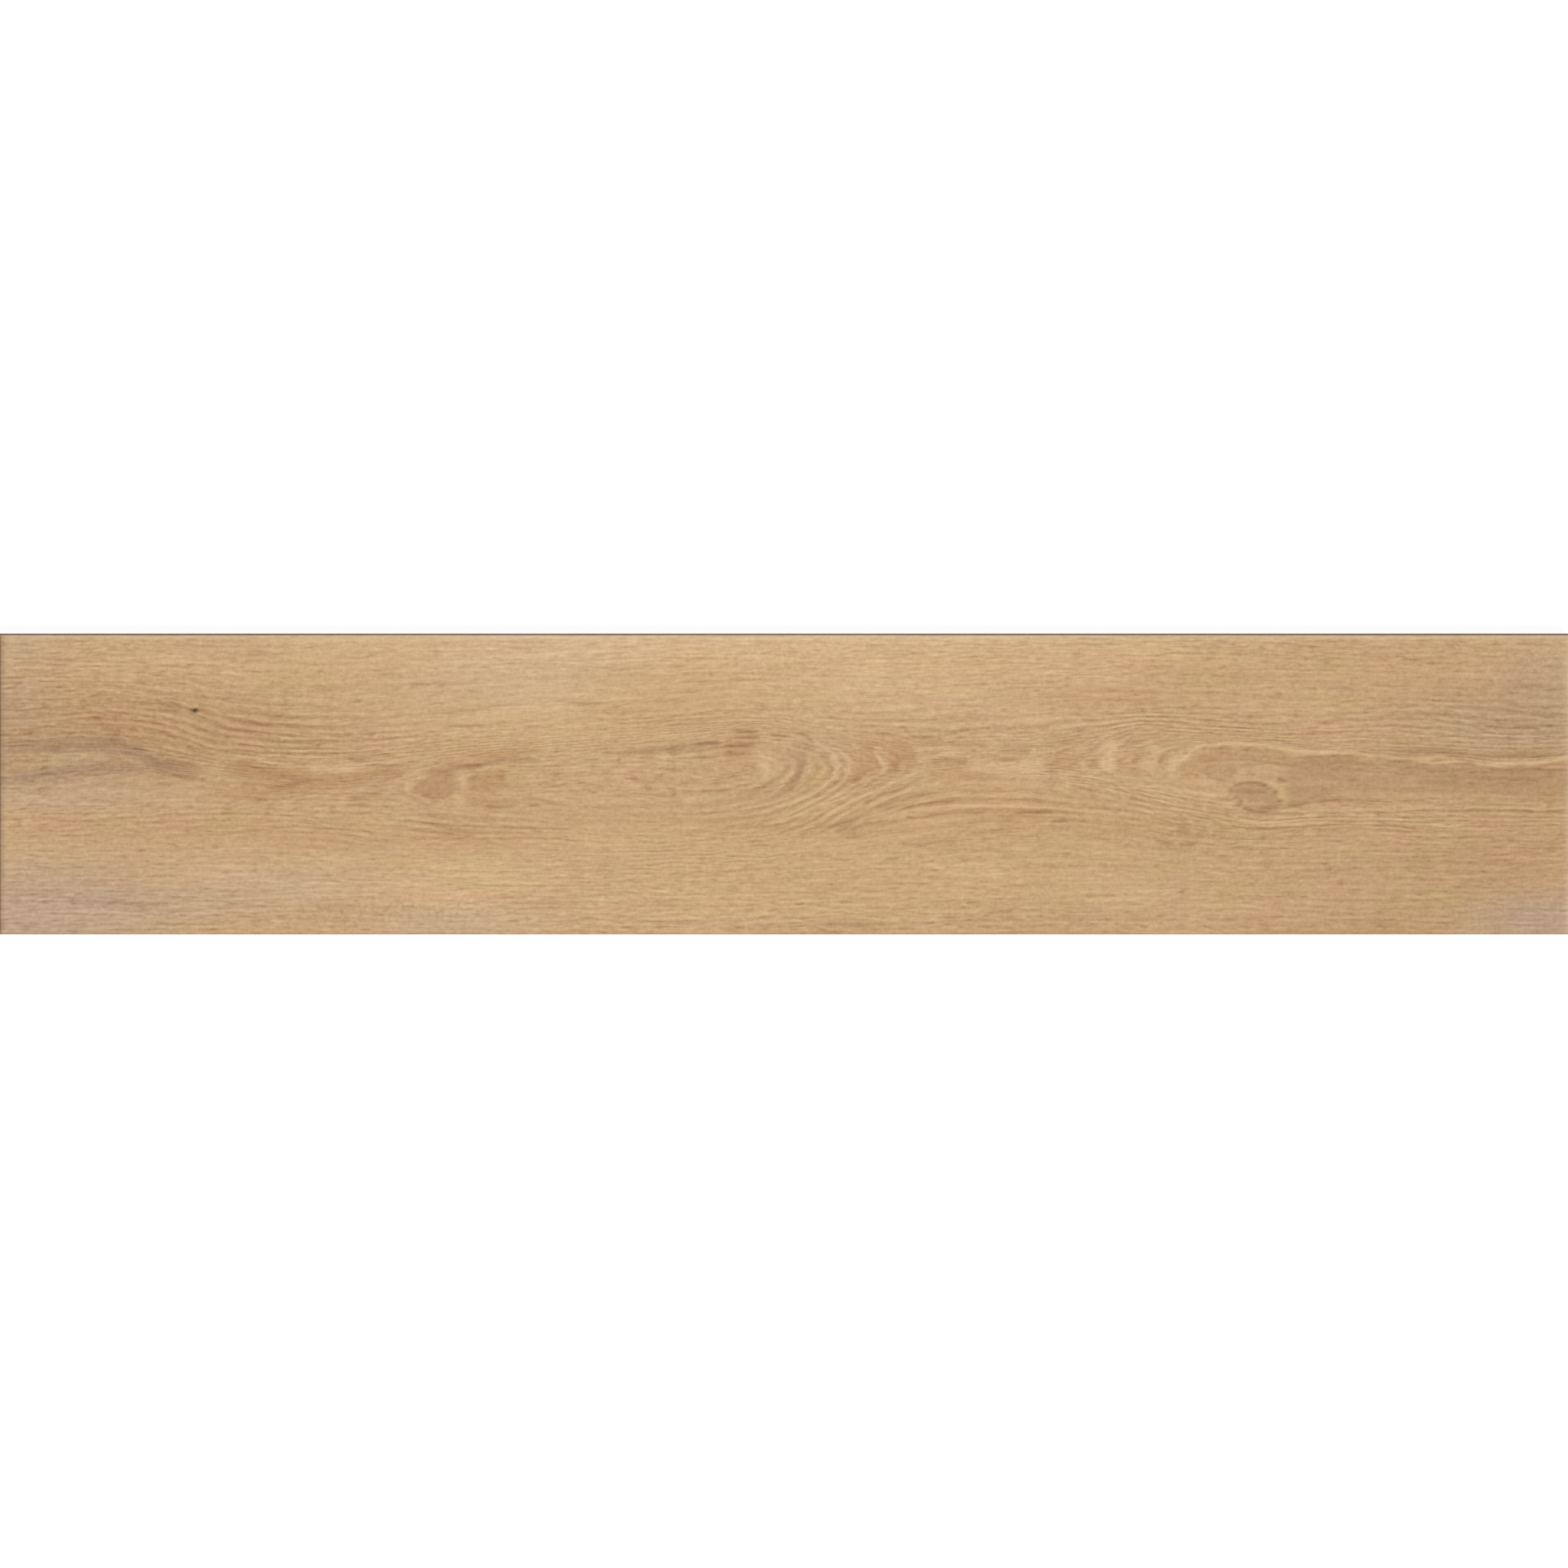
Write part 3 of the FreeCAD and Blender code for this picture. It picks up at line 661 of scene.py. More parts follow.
TEARDROP = {
    "cream": [
        (0.66, 1.1, [
            (303, 17), (307, 21), (314, 27), (324, 29.8), (343, 30.8), (362, 30.2), (378, 27.6), (390, 25),
        ]),
        (0.72, 1.9, [(382, 26.6), (392, 24.8), (404, 24), (422, 24.2), (438, 24.6)]),
        (0.72, 1.2, [
            (434, 24), (443, 22.4), (460, 20.8), (474, 19.6), (490, 19.2), (500, 20.6), (507, 21.3),
        ]),
        (0.64, 1.0, [(478, 17), (496, 16.6), (514, 17), (526, 17)]),
        (0.74, 1.8, [
            (522, 17.4), (533, 15.6), (547, 15), (562, 16.4), (578, 16.7), (586, 18.3), (606, 20.4),
            (650, 22), (700, 23),
        ]),
        (0.36, 1.7, [(380, -19.4), (396, -20.6), (412, -20.4), (430, -20), (446, -19.4)]),
        (0.36, 0.9, [(456, -17), (470, -16.6), (484, -17), (500, -17)]),
        (0.4, 0.9, [(444, -19), (480, -18.6), (512, -18), (548, -18.2), (604, -18.4), (660, -18)]),
        (0.34, 0.8, [(540, -24), (570, -23.6), (604, -23.4)]),
        (0.56, 0.8, [(492, -31.8), (506, -32), (520, -31.4)]),
        (0.3, 0.8, [(560, -36.4), (580, -36.6), (604, -36.4)]),
        (0.34, 1.2, [(341, -12), (343, -17), (345, -23)]),
        (0.6, 1.1, [
            (343, -22), (346, -26), (351, -29), (360, -30.4), (379, -30.4), (403, -29.4), (417, -27),
        ]),
        (0.26, 0.8, [(408, -28), (424, -26.4), (444, -24.6), (460, -26.4), (476, -29)]),
    ],
    "umber": [
        (0.34, 0.9, [(352, 33), (368, 33.2), (382, 32.4), (398, 29.2), (414, 27.6)]),
        (0.3, 0.9, [(398, 21.4), (420, 21.6), (440, 20)]),
        (0.5, 0.9, [(458, 17.8), (466, 17.4), (474, 17.4), (482, 18.2)]),
        (0.4, 0.9, [
            (500, 14.8), (512, 15.8), (524, 15.4), (537, 13), (547, 11.8), (562, 11), (580, 10.8),
            (620, 12),
        ]),
        (0.34, 1.9, [(464, 26), (480, 25.6), (498, 25.4), (510, 24.8), (522, 23)]),
        (0.34, 1.3, [(516, 23), (534, 21), (556, 21.6), (578, 22), (606, 23), (660, 24)]),
        (0.4, 0.9, [(318, 17), (330, 18.6), (346, 18.4), (358, 17.8), (366, 17), (378, 15.4), (390, 13.4)]),
        (0.7, 1.5, [(376.6, 4.8), (380, 3.6), (384, 1.6)]),
        (0.16, 5.0, [(387, 16), (391, 8), (393, 0)]),
        (0.08, 5.0, [(404, 10), (424, 10), (446, 9)]),
        (0.44, 0.9, [(379, -16.8), (386, -16.4), (394, -15.8), (404, -13)]),
        (0.24, 0.9, [(402, -13.6), (416, -12), (430, -11)]),
        (0.36, 0.9, [(476, -20), (510, -20.2), (550, -20.4), (604, -20.8), (660, -21)]),
        (0.38, 0.8, [(352, -33), (364, -33.8), (378, -33.4), (390, -33), (402, -33.4)]),
        (0.34, 0.9, [(405, -25.4), (414, -24), (424, -23.6), (440, -26)]),
        (0.3, 0.9, [(400, -33), (416, -31.4), (434, -29.6)]),
        (0.28, 1.0, [(452, -28), (466, -32), (476, -32.4)]),
    ],
}

KNOT = {
    "umber": [
        (0.66, 0.9, [
            (341.4, -6), (344, -2), (350, 1), (360, 1), (368, -0.4), (374, -5.4), (377.6, -11),
            (378.6, -17),
        ]),
        (0.6, 0.8, [
            (342, -8), (345, -11), (349, -13.6), (351, -18), (358, -21.2), (367, -21.4), (375, -20.6),
        ]),
        (0.24, 2.4, [(346, -4), (354, -5), (364, -6), (371, -10)]),
        (0.4, 1.0, [(367, -14), (372, -17), (379, -18)]),
    ],
    "cream": [
        (0.46, 1.5, [(353, -11), (355, -14.4), (353, -18)]),
        (0.3, 1.1, [(361, -15), (366, -14.6), (371, -16)]),
        (0.44, 1.7, [(371, 2), (376.6, -2), (380.6, -7), (381.4, -14)]),
    ],
}

RED_STREAKS = {
    "russet": [
        (0.16, 5.0, [(160, -27), (180, -28), (204, -27), (226, -25)]),
        (0.6, 1.2, [(176, -22.6), (190, -21.8), (208, -21.2)]),
        (0.14, 4.0, [(96, -27), (116, -27), (140, -26)]),
        (0.5, 1.2, [(95, -25.8), (102, -25.6), (110, -25.6)]),
    ],
    "umber": [
        (0.4, 1.1, [(178, -22.4), (190, -21.8), (206, -21.2)]),
        (0.3, 0.9, [(158, -23), (176, -24.6), (198, -25.4), (220, -25)]),
        (0.44, 1.1, [(204, -28.8), (210, -28.6), (218, -28.4)]),
        (0.14, 3.0, [(163, -31), (170, -30), (178, -31)]),
        (0.4, 0.9, [(108, -25), (116, -23.6), (126, -22.8)]),
        (0.44, 0.9, [(33, -34.6), (40, -31.6), (50, -28), (62, -24)]),
        (0.2, 4.0, [(40, -36), (50, -35), (60, -36)]),
        (0.3, 0.9, [(44, -41), (54, -41), (62, -39)]),
        (0.4, 1.0, [(96, -46), (106, -46), (118, -44.4), (134, -44)]),
        (0.3, 1.5, [(78, -57), (84, -57.6), (88, -57)]),
        (0.24, 1.0, [(157, -51.4), (168, -52.4), (176, -56)]),
        (0.52, 1.0, [(284, -43.4), (291, -44.8), (298, -45.6)]),
        (0.56, 1.1, [(301, -46.2), (307, -46.6), (315, -46.2)]),
        (0.38, 0.8, [(280, -50.2), (296, -50.6), (314, -51.6)]),
        (0.46, 0.9, [(338, -48), (348, -48.6), (362, -50)]),
        (0.28, 3.0, [(301, -33), (306, -35.6), (312, -37.6)]),
        (0.3, 0.9, [(-25, -43), (-18, -44), (-10, -43)]),
        (0.3, 0.9, [(-22, -46), (-14, -46.4), (-6, -49)]),
        (0.28, 0.8, [(-104, -52), (-90, -51.4), (-74, -50)]),
    ],
}

SHORT_STREAKS = {
    "umber": [
        (0.34, 0.8, [(-560, 94), (-552, 94), (-543, 94)]),
        (0.3, 0.9, [(-408, 99), (-398, 99.6), (-390, 100)]),
        (0.16, 0.8, [(-446, 108), (-434, 108), (-424, 108.6)]),
        (0.28, 1.0, [(-397, 76.6), (-388, 77.4), (-378, 76.6)]),
        (0.28, 1.8, [(-358, 72), (-350, 72), (-342, 72)]),
        (0.3, 0.8, [(-288, 75.6), (-276, 76.4), (-264, 76.6)]),
        (0.6, 1.0, [(-263.6, 76.4), (-261.6, 76.4), (-260, 76.4)]),
        (0.3, 0.8, [(-310, 83), (-300, 83.4), (-288, 83)]),
        (0.44, 0.9, [(-260, 43.2), (-248, 44.2), (-234, 44.8), (-220, 44.6)]),
        (0.26, 0.8, [(-272, 53.4), (-254, 55), (-236, 57.4), (-206, 60.6)]),
        (0.46, 0.9, [(-164, 62), (-152, 61.6), (-139, 61.4)]),
        (0.3, 0.7, [(-70, 54.4), (-48, 56), (-30, 57)]),
        (0.3, 0.7, [(-34, 57), (-14, 56.6), (8, 57.4)]),
        (0.28, 0.8, [(-44, 79), (-30, 80), (-16, 80.6)]),
        (0.24, 0.8, [(-84, 95.6), (-66, 96), (-48, 94.6)]),
        (0.3, 0.9, [(-482, 62), (-472, 61.4), (-461, 60)]),
        (0.42, 0.9, [(-478, 57.4), (-470, 56.2), (-463, 56)]),
        (0.46, 1.2, [(-472, 38), (-467, 36.4), (-462, 34.4)]),
        (0.34, 0.9, [(-434, 66.6), (-428, 65), (-421, 64.6)]),
        (0.26, 1.0, [(416, 72.6), (426, 74), (448, 72.4)]),
        (0.24, 1.2, [(448, 76.4), (458, 75), (470, 74)]),
        (0.16, 3.4, [(545, 73), (560, 75.6), (582, 75)]),
        (0.32, 0.9, [(560, 76), (572, 75.4), (586, 74.6)]),
        (0.34, 0.9, [(440, 51), (460, 52), (482, 53.4), (504, 53), (524, 50)]),
        (0.34, 0.9, [(520, 49.6), (540, 47), (560, 44.8), (582, 44)]),
        (0.3, 0.9, [(508, 61), (530, 59), (556, 56), (582, 53)]),
        (0.26, 0.8, [(515, -73), (530, -72.4), (548, -71.6)]),
        (0.24, 2.6, [(-548, -89), (-524, -90), (-498, -91.6), (-470, -94)]),
        (0.22, 2.4, [(-362, -92), (-346, -94), (-330, -94)]),
        (0.24, 0.9, [(-120, -104), (-96, -105.4), (-60, -106.4)]),
        (0.26, 1.4, [(22, -107), (50, -108), (88, -107)]),
        (0.24, 0.9, [(-220, -86), (-206, -86.6), (-190, -86)]),
        (0.22, 2.6, [(-190, -91), (-178, -92), (-166, -91)]),
        (0.3, 0.8, [(155, -99), (164, -98.2), (176, -97)]),
    ],
}

PIN_KNOTS = {
    "umber": [(0.5, 2.1, [(-456, 56.8), (-451, 56), (-446, 55)])],
    "cream": [(0.45, 1.5, [(-455, 59.6), (-451, 59.4), (-448, 58.6)])],
    "pin": [
        (1.0, 1.35, [(-453, 56.3), (-451, 56), (-449, 55.6)]),
        (0.4, 1.1, [(415.4, -65), (417, -65.2), (418.6, -65)]),
        (0.28, 1.1, [(391, -71), (392.6, -71.4), (394, -71)]),
        (0.24, 0.9, [(487, -72.8), (489, -73), (491, -72.8)]),
    ],
}

STROKES = (
    DARK_FLOW, RUSSET_FLOW, ARROWHEAD, EYE, HERRINGBONE, TEARDROP, KNOT,
    RED_STREAKS, SHORT_STREAKS, PIN_KNOTS,
)

# The studio: even light, one soft lamp, a white floor and a long lens
WORLD_LIGHT = 0.38
SUN_IRRADIANCE = 2.5
SUN_ELEVATION = math.radians(45)
SUN_FROM = math.radians(-52)
SUN_SOFTNESS = math.radians(18)
FLOOR_HALF_METRES = 12.0
FLOOR_GREY = 0.8
SEEN_FLOOR_GREY = 0.10
SEEN_FLOOR_GLOW = 0.93
LENS = 120.0
SENSOR_WIDTH = 36.0
FRAME_FILL = 0.9985


def smooth_curve(stations, x):
    """Height at x of the smooth curve through those stations, each (x, height)."""
    at, height = np.array(stations, float).T
    slope = np.gradient(height, at)
    left = np.clip(np.searchsorted(at, x, side="right") - 1, 0, len(at) - 2)
    span = at[left + 1] - at[left]
    t = np.clip((x - at[left]) / span, 0, 1)
    from_left = (1 + 2 * t) * (1 - t) ** 2 * height[left] + t * (1 - t) ** 2 * span * slope[left]
    from_right = t ** 2 * (3 - 2 * t) * height[left + 1] - t ** 2 * (1 - t) * span * slope[left + 1]
    return from_left + from_right


def soft_zone(x, y, centre_x, centre_y, half_length, half_height):
    """1 at the middle of an oval zone, fading smoothly to nothing past its half sizes."""
    away = ((x - centre_x) / half_length) ** 2 + ((y - centre_y) / half_height) ** 2
    return np.exp(-HALVING * away ** ZONE_CRISPNESS)


def wander(x, y, name):
    """One of the slow natural wobbles, longer along the grain than across it."""
    amount, seed, finer, lengths = WANDERS[name]
    rng = np.random.default_rng(seed)
    x, y = finer * x, finer * y
    total = np.zeros_like(x)
    for length in lengths:
        along, across = 2 * math.pi / length, 2 * math.pi / (length * WANDER_FLATNESS)
        turn_a, turn_b, lean = rng.uniform(0, 2 * math.pi, 3)
        leaning = WANDER_LEAN * np.sin(LEAN_PACE * across * y + lean)
        total += np.sin(along * x + turn_a + leaning) * np.cos(across * y + turn_b)
    return amount * total / (WAVE_HEIGHT * len(lengths))


def guided_level(x, y):
    """How high the grain line through each place would lie on straight grain, read between the guides."""
    levels = list(GRAIN_GUIDES)
    heights = [smooth_curve(points, x) for points in GRAIN_GUIDES.values()]
    total = np.full_like(x, levels[0])
    for low, high, level, next_level in zip(heights, heights[1:], levels, levels[1:]):
        total += np.clip((y - low) / (high - low), 0, 1) * (next_level - level)
    return total


def spread_share(x, y):
    """How far the guides spread the grain: 0 where its lines lie as on straight grain, 1 where far apart."""
    step = guided_level(x, y + SPREAD_REACH) - guided_level(x, y - SPREAD_REACH)
    return np.clip(np.log(2 * SPREAD_REACH / step) / math.log(CLOSER_GRAIN), 0, 1)


def ring_field(x, y):
    """How the grain runs at each place: on the rings round the pith, and on the guides past them."""
    level = guided_level(x, y) + wander(x, y, "level")
    heart = smooth_curve(HEART_LINE, x)
    from_heart = y - heart * np.exp(-(((y - heart) / HEART_REACH) ** 2))
    fanned = np.where(from_heart > 0, from_heart, from_heart * smooth_curve(LOWER_FAN, x))
    depth = np.maximum(smooth_curve(PITH_DEPTH, x), LEAST_PITH_DEPTH)
    roundness = smooth_curve(TIP_ROUNDNESS, x)
    radius = (np.abs(fanned) ** roundness + depth ** roundness) ** (1 / roundness) + wander(x, y, "radius")
    limit = np.where(from_heart > 0, smooth_curve(FIGURE_ABOVE, x), smooth_curve(FIGURE_BELOW, x))
    drift = wander(x, y, "turns")
    return {
        "ring_radius": radius, "grain_side": from_heart / (np.abs(from_heart) + SIDE_SOFTNESS),
        "grain_level": level, "spread": spread_share(x, y),
        "figure": 1 / (1 + np.exp((np.abs(from_heart) - limit) / FIGURE_SOFTNESS)),
        "ring_turns": radius / RING_PITCH + drift, "level_turns": level / LEVEL_PITCH + drift,
    }


def stroke_path(points):
    """A stroke's given points, rounded into a smooth path (Catmull-Rom)."""
    placed = np.array(points, float)
    knots = [2 * placed[0] - placed[1], *placed, 2 * placed[-1] - placed[-2]]
    path = []
    for before, start, end, after in zip(knots, knots[1:], knots[2:], knots[3:]):
        for t in np.arange(STROKE_STEPS) / STROKE_STEPS:
            bend = (2 * before - 5 * start + 4 * end - after) * t ** 2
            twist = (3 * start - before - 3 * end + after) * t ** 3
            path.append(0.5 * (2 * start + (end - before) * t + bend + twist))
    return np.array([*path, knots[-2]])


def near_path(x, y, path, reach):
    """Which places lie in the box round a path, how far each is from it, and its share along it."""
    low, high = path.min(axis=0) - reach, path.max(axis=0) + reach
    near = np.flatnonzero((x > low[0]) & (x < high[0]) & (y > low[1]) & (y < high[1]))
    best = np.full(len(near), np.inf)
    along = np.zeros(len(near))
    for index, (start, end) in enumerate(zip(path, path[1:])):
        step = end - start
        offset_x, offset_y = x[near] - start[0], y[near] - start[1]
        t = np.clip((offset_x * step[0] + offset_y * step[1]) / (step @ step), 0, 1)
        distance = np.hypot(offset_x - t * step[0], offset_y - t * step[1])
        closer = distance < best
        best[closer] = distance[closer]
        along[closer] = (index + t[closer]) / (len(path) - 1)
    return near, best, along


def stroke_cover(x, y, half_width, points):
    """How much of a stroke's pigment lies at each place: full on its path, tapered at its ends."""
    cover = np.zeros_like(x)
    near, distance, along = near_path(x, y, stroke_path(points), STROKE_REACH * half_width)
    taper = np.clip(4 * along * (1 - along), 0, 1) ** TAPER_POWER
    width = half_width * (END_WIDTH + (1 - END_WIDTH) * taper)
    cover[near] = taper * np.exp(-HALVING * (distance / width) ** STROKE_CRISPNESS)
    return cover


def patch_cover(x, y, softness, points):
    """How much of a patch's pigment lies at each place: full inside its smooth closed outline."""
    outline = stroke_path([*points, *points[:3]])[STROKE_STEPS:-STROKE_STEPS]
    cover = np.zeros_like(x)
    near, distance, _ = near_path(x, y, outline, PATCH_REACH * softness)
    inside = np.zeros(len(near), bool)
    for start, end in zip(outline, outline[1:]):
        crossed = np.flatnonzero((y[near] < start[1]) != (y[near] < end[1]))
        share = (y[near[crossed]] - start[1]) / (end[1] - start[1])
        passed = crossed[x[near[crossed]] < start[0] + share * (end[0] - start[0])]
        inside[passed] ^= True
    cover[near] = 1 / (1 + np.exp(np.where(inside, -distance, distance) / softness))
    return cover


def pigment_share(x, y, ragged_x, ragged_y, pigment):
    """How much of one pigment lies at each place: its washes, and its ragged patches and strokes."""
    clear = np.ones_like(x)
    for *place, strength in WASHES.get(pigment, ()):
        clear *= 1 - strength * soft_zone(x, y, *place)
    for strength, softness, points in FILLED_PATCHES.get(pigment, ()):
        clear *= 1 - strength * patch_cover(ragged_x, ragged_y, softness, points)
    for strokes in STROKES:
        for strength, half_width, points in strokes.get(pigment, ()):
            clear *= 1 - strength * stroke_cover(ragged_x, ragged_y, half_width, points)
    return 1 - clear


def figure_fields(x, y):
    """Everything the print and the pressed grain need at each place of the face, by attribute name."""
    fields = ring_field(x, y)
    for name, zones, least in (
        ("ring_show", RING_ZONES, LEAST_RING_SHOW), ("mottle", MOTTLE_ZONES, LEAST_MOTTLE),
    ):
        fields[name] = np.full_like(x, least)
        for *place, strength in zones:
            fields[name] = np.maximum(fields[name], strength * soft_zone(x, y, *place))
    for name, zones in (("tone", TONE_ZONES), ("calm", CALM_ZONES)):
        fields[name] = sum(change * soft_zone(x, y, *place) for *place, change in zones)
    ragged_x, ragged_y = x + wander(x, y, "ragged x"), y + wander(x, y, "ragged y")
    for pigment in PIGMENTS:
        fields[pigment] = pigment_share(x, y, ragged_x, ragged_y, pigment)
    return fields


def graded_lines(half, span, widths):
    """Places of the mesh's lines from edge to edge: finer in a span, with a narrow one inside each edge."""
    stops = [-half + CORNER_RADIUS, *span, half - CORNER_RADIUS]
    lines = [-half]
    for start, end, width in zip(stops, stops[1:], widths):
        lines.extend(np.linspace(start, end, round((end - start) / width), endpoint=False))
    return [*lines, stops[-1], half]


def edge_profile(thickness):
    """The side of the plank from the face down to the back: how far each line stands out, and its height."""
    arris = [
        (-ARRIS_RADIUS * (1 - math.sin(turn)), thickness - ARRIS_RADIUS * (1 - math.cos(turn)))
        for turn in np.linspace(0, math.pi / 2, ARRIS_STEPS + 1)[1:]
    ]
    band_foot = thickness - BAND_HEIGHT
    bevel_inset = BACK_INSET * (1 - BACK_CHAMFER / band_foot)
    return [*arris, (0.0, band_foot), (-bevel_inset, BACK_CHAMFER), (-BACK_INSET - BACK_CHAMFER, 0.0)]


def outline_point(x, y, face_half, outer_half):
    """Where a point of the face's edge lies on a larger outline, with that outline's corners rounded."""
    share = min(1.0, max(0.0, (outer_half[0] - face_half[0]) / ARRIS_RADIUS))
    px, py = x * outer_half[0] / face_half[0], y * outer_half[1] / face_half[1]
    radius = CORNER_RADIUS * share
    centre_x, centre_y = outer_half[0] - radius, outer_half[1] - radius
    over_x, over_y = abs(px) - centre_x, abs(py) - centre_y
    if radius > 0 and over_x > 0 and over_y > 0:
        reach = math.hypot(over_x, over_y)
        px = math.copysign(centre_x + over_x / reach * radius, px)
        py = math.copysign(centre_y + over_y / reach * radius, py)
    return px, py


def add_face(mesh, columns, rows, thickness):
    """The face as a grid of quads. Returns the vertices round its edge, in order."""
    grid = [[mesh.verts.new((x, y, thickness)) for x in columns] for y in rows]
    for row, next_row in zip(grid, grid[1:]):
        for corner in zip(row, row[1:], next_row[1:], next_row):
            mesh.faces.new(corner)
    right = [row[-1] for row in grid]
    left = [row[0] for row in grid]
    return grid[0][:-1] + right[:-1] + grid[-1][:0:-1] + left[:0:-1]


def join_rings(mesh, upper, lower):
    """A band of quads between two closed rings of vertices. Returns its faces."""
    return [
        mesh.faces.new((upper[index - 1], upper[index], lower[index], lower[index - 1]))
        for index in range(len(upper))
    ]


def add_sides(mesh, edge, face_half, thickness, half):
    """The arris, the upright band and the drawn-in foot of the sides. Returns the edges round the back."""
    upper = edge
    for stand_out, height in edge_profile(thickness):
        outer_half = (half[0] + stand_out, half[1] + stand_out)
        lower = [
            mesh.verts.new((*outline_point(vertex.co.x, vertex.co.y, face_half, outer_half), height))
            for vertex in edge
        ]
        for side in join_rings(mesh, upper, lower):
            side.material_index = int(height < thickness - ARRIS_RADIUS)
        upper = lower
    return [mesh.edges.get((a, b)) for a, b in zip(upper, upper[1:] + upper[:1])]


def one_cell():
    """One keying cell of the back: its rim, its drafted walls and its floor, open downwards."""
    mesh = bmesh.new()
    draw_in = CELL_DEPTH * math.tan(CELL_DRAFT)
    rings = []
    for inset, height in ((0, 0), (draw_in, CELL_DEPTH)):
        half_x, half_y = CELL_LENGTH / 2 - inset, CELL_WIDTH / 2 - inset
        cut = CELL_CORNER_CUT - inset * (2 - math.sqrt(2))
        near_x, near_y = half_x - cut, half_y - cut
        right = [(near_x, -half_y), (half_x, -near_y), (half_x, near_y), (near_x, half_y)]
        corners = right + [(-x, -y) for x, y in right]
        rings.append([mesh.verts.new((x * MM, y * MM, height * MM)) for x, y in corners])
    join_rings(mesh, *rings)
    mesh.faces.new(rings[1])
    made = bpy.data.meshes.new("keying_cell")
    mesh.to_mesh(made)
    mesh.free()
    return made


def add_node(tree, kind, inputs=(), output=0, **settings):
    """Adds a node with its settings, fills its inputs with values or outputs, and returns its output."""
    made = tree.nodes.new(kind)
    for name, value in settings.items():
        setattr(made, name, value)
    filled = inputs.items() if isinstance(inputs, dict) else enumerate(inputs)
    for name, value in filled:
        if isinstance(value, bpy.types.NodeSocket):
            tree.links.new(value, made.inputs[name])
        else:
            made.inputs[name].default_value = value
    return made.outputs[output] if made.outputs else None


def geometry_tree(name, inputs):
    """A geometry tree with these inputs, by name and kind, after its geometry. Returns it and its inputs."""
    tree = bpy.data.node_groups.new(name, "GeometryNodeTree")
    tree.interface.new_socket("Geometry", in_out="OUTPUT", socket_type="NodeSocketGeometry")
    for label, kind in {"Geometry": "Geometry", **inputs}.items():
        tree.interface.new_socket(label, in_out="INPUT", socket_type="NodeSocket" + kind)
    return tree, tree.nodes.new("NodeGroupInput").outputs


def end_geometry_tree(tree, geometry, material, selection=True):
    """Ends a geometry tree in real meshes, with a material on the selected faces."""
    realized = add_node(tree, "GeometryNodeRealizeInstances", [geometry])
    covered = add_node(tree, "GeometryNodeSetMaterial", [realized, selection, material])
    add_node(tree, "NodeGroupOutput", [covered])


def applied(mesh, tree, values):
    """The mesh that a geometry tree makes of a mesh, with the tree's inputs set by name."""
    carrier = bpy.data.objects.new("carrier", mesh)
    bpy.context.scene.collection.objects.link(carrier)
    modifier = carrier.modifiers.new(tree.name, "NODES")
    modifier.node_group = tree
    for item in tree.interface.items_tree:
        if item.item_type == "SOCKET" and item.in_out == "INPUT" and item.name in values:
            modifier[item.identifier] = values[item.name]
    depsgraph = bpy.context.evaluated_depsgraph_get()
    made = bpy.data.meshes.new_from_object(carrier.evaluated_get(depsgraph), depsgraph=depsgraph)
    carrier.modifiers.clear()
    bpy.data.objects.remove(carrier)
    return made


def cell_grid_tree():
    """Repeats one keying cell over the back of the plank."""
    tree, given = geometry_tree("keying_grid", {
        "Cells along": "Int", "Cells across": "Int", "Pitch along": "Float", "Pitch across": "Float",
        "Material": "Material",
    })
    spans = []
    for way in ("along", "across"):
        gaps = add_node(tree, "ShaderNodeMath", [given["Cells " + way], 1.0], operation="SUBTRACT")
        spans.append(add_node(tree, "ShaderNodeMath", [gaps, given["Pitch " + way]], operation="MULTIPLY"))
    places = add_node(tree, "GeometryNodeMeshGrid", [*spans, given["Cells along"], given["Cells across"]])
    cells = add_node(tree, "GeometryNodeInstanceOnPoints", {"Points": places, "Instance": given["Geometry"]})
    end_geometry_tree(tree, cells, given["Material"])
    return tree


def keying_cells(half, body):
    """The mesh of all the keying cells, as many as fit inside the plain margin."""
    values = {"Material": body}
    for way, side, cell in zip(("along", "across"), half, (CELL_LENGTH, CELL_WIDTH)):
        pitch = cell + RIB_WIDTH
        values["Cells " + way] = int((2 * (side - PLAIN_MARGIN) + RIB_WIDTH) // pitch)
        values["Pitch " + way] = pitch * MM
    return applied(one_cell(), cell_grid_tree(), values)


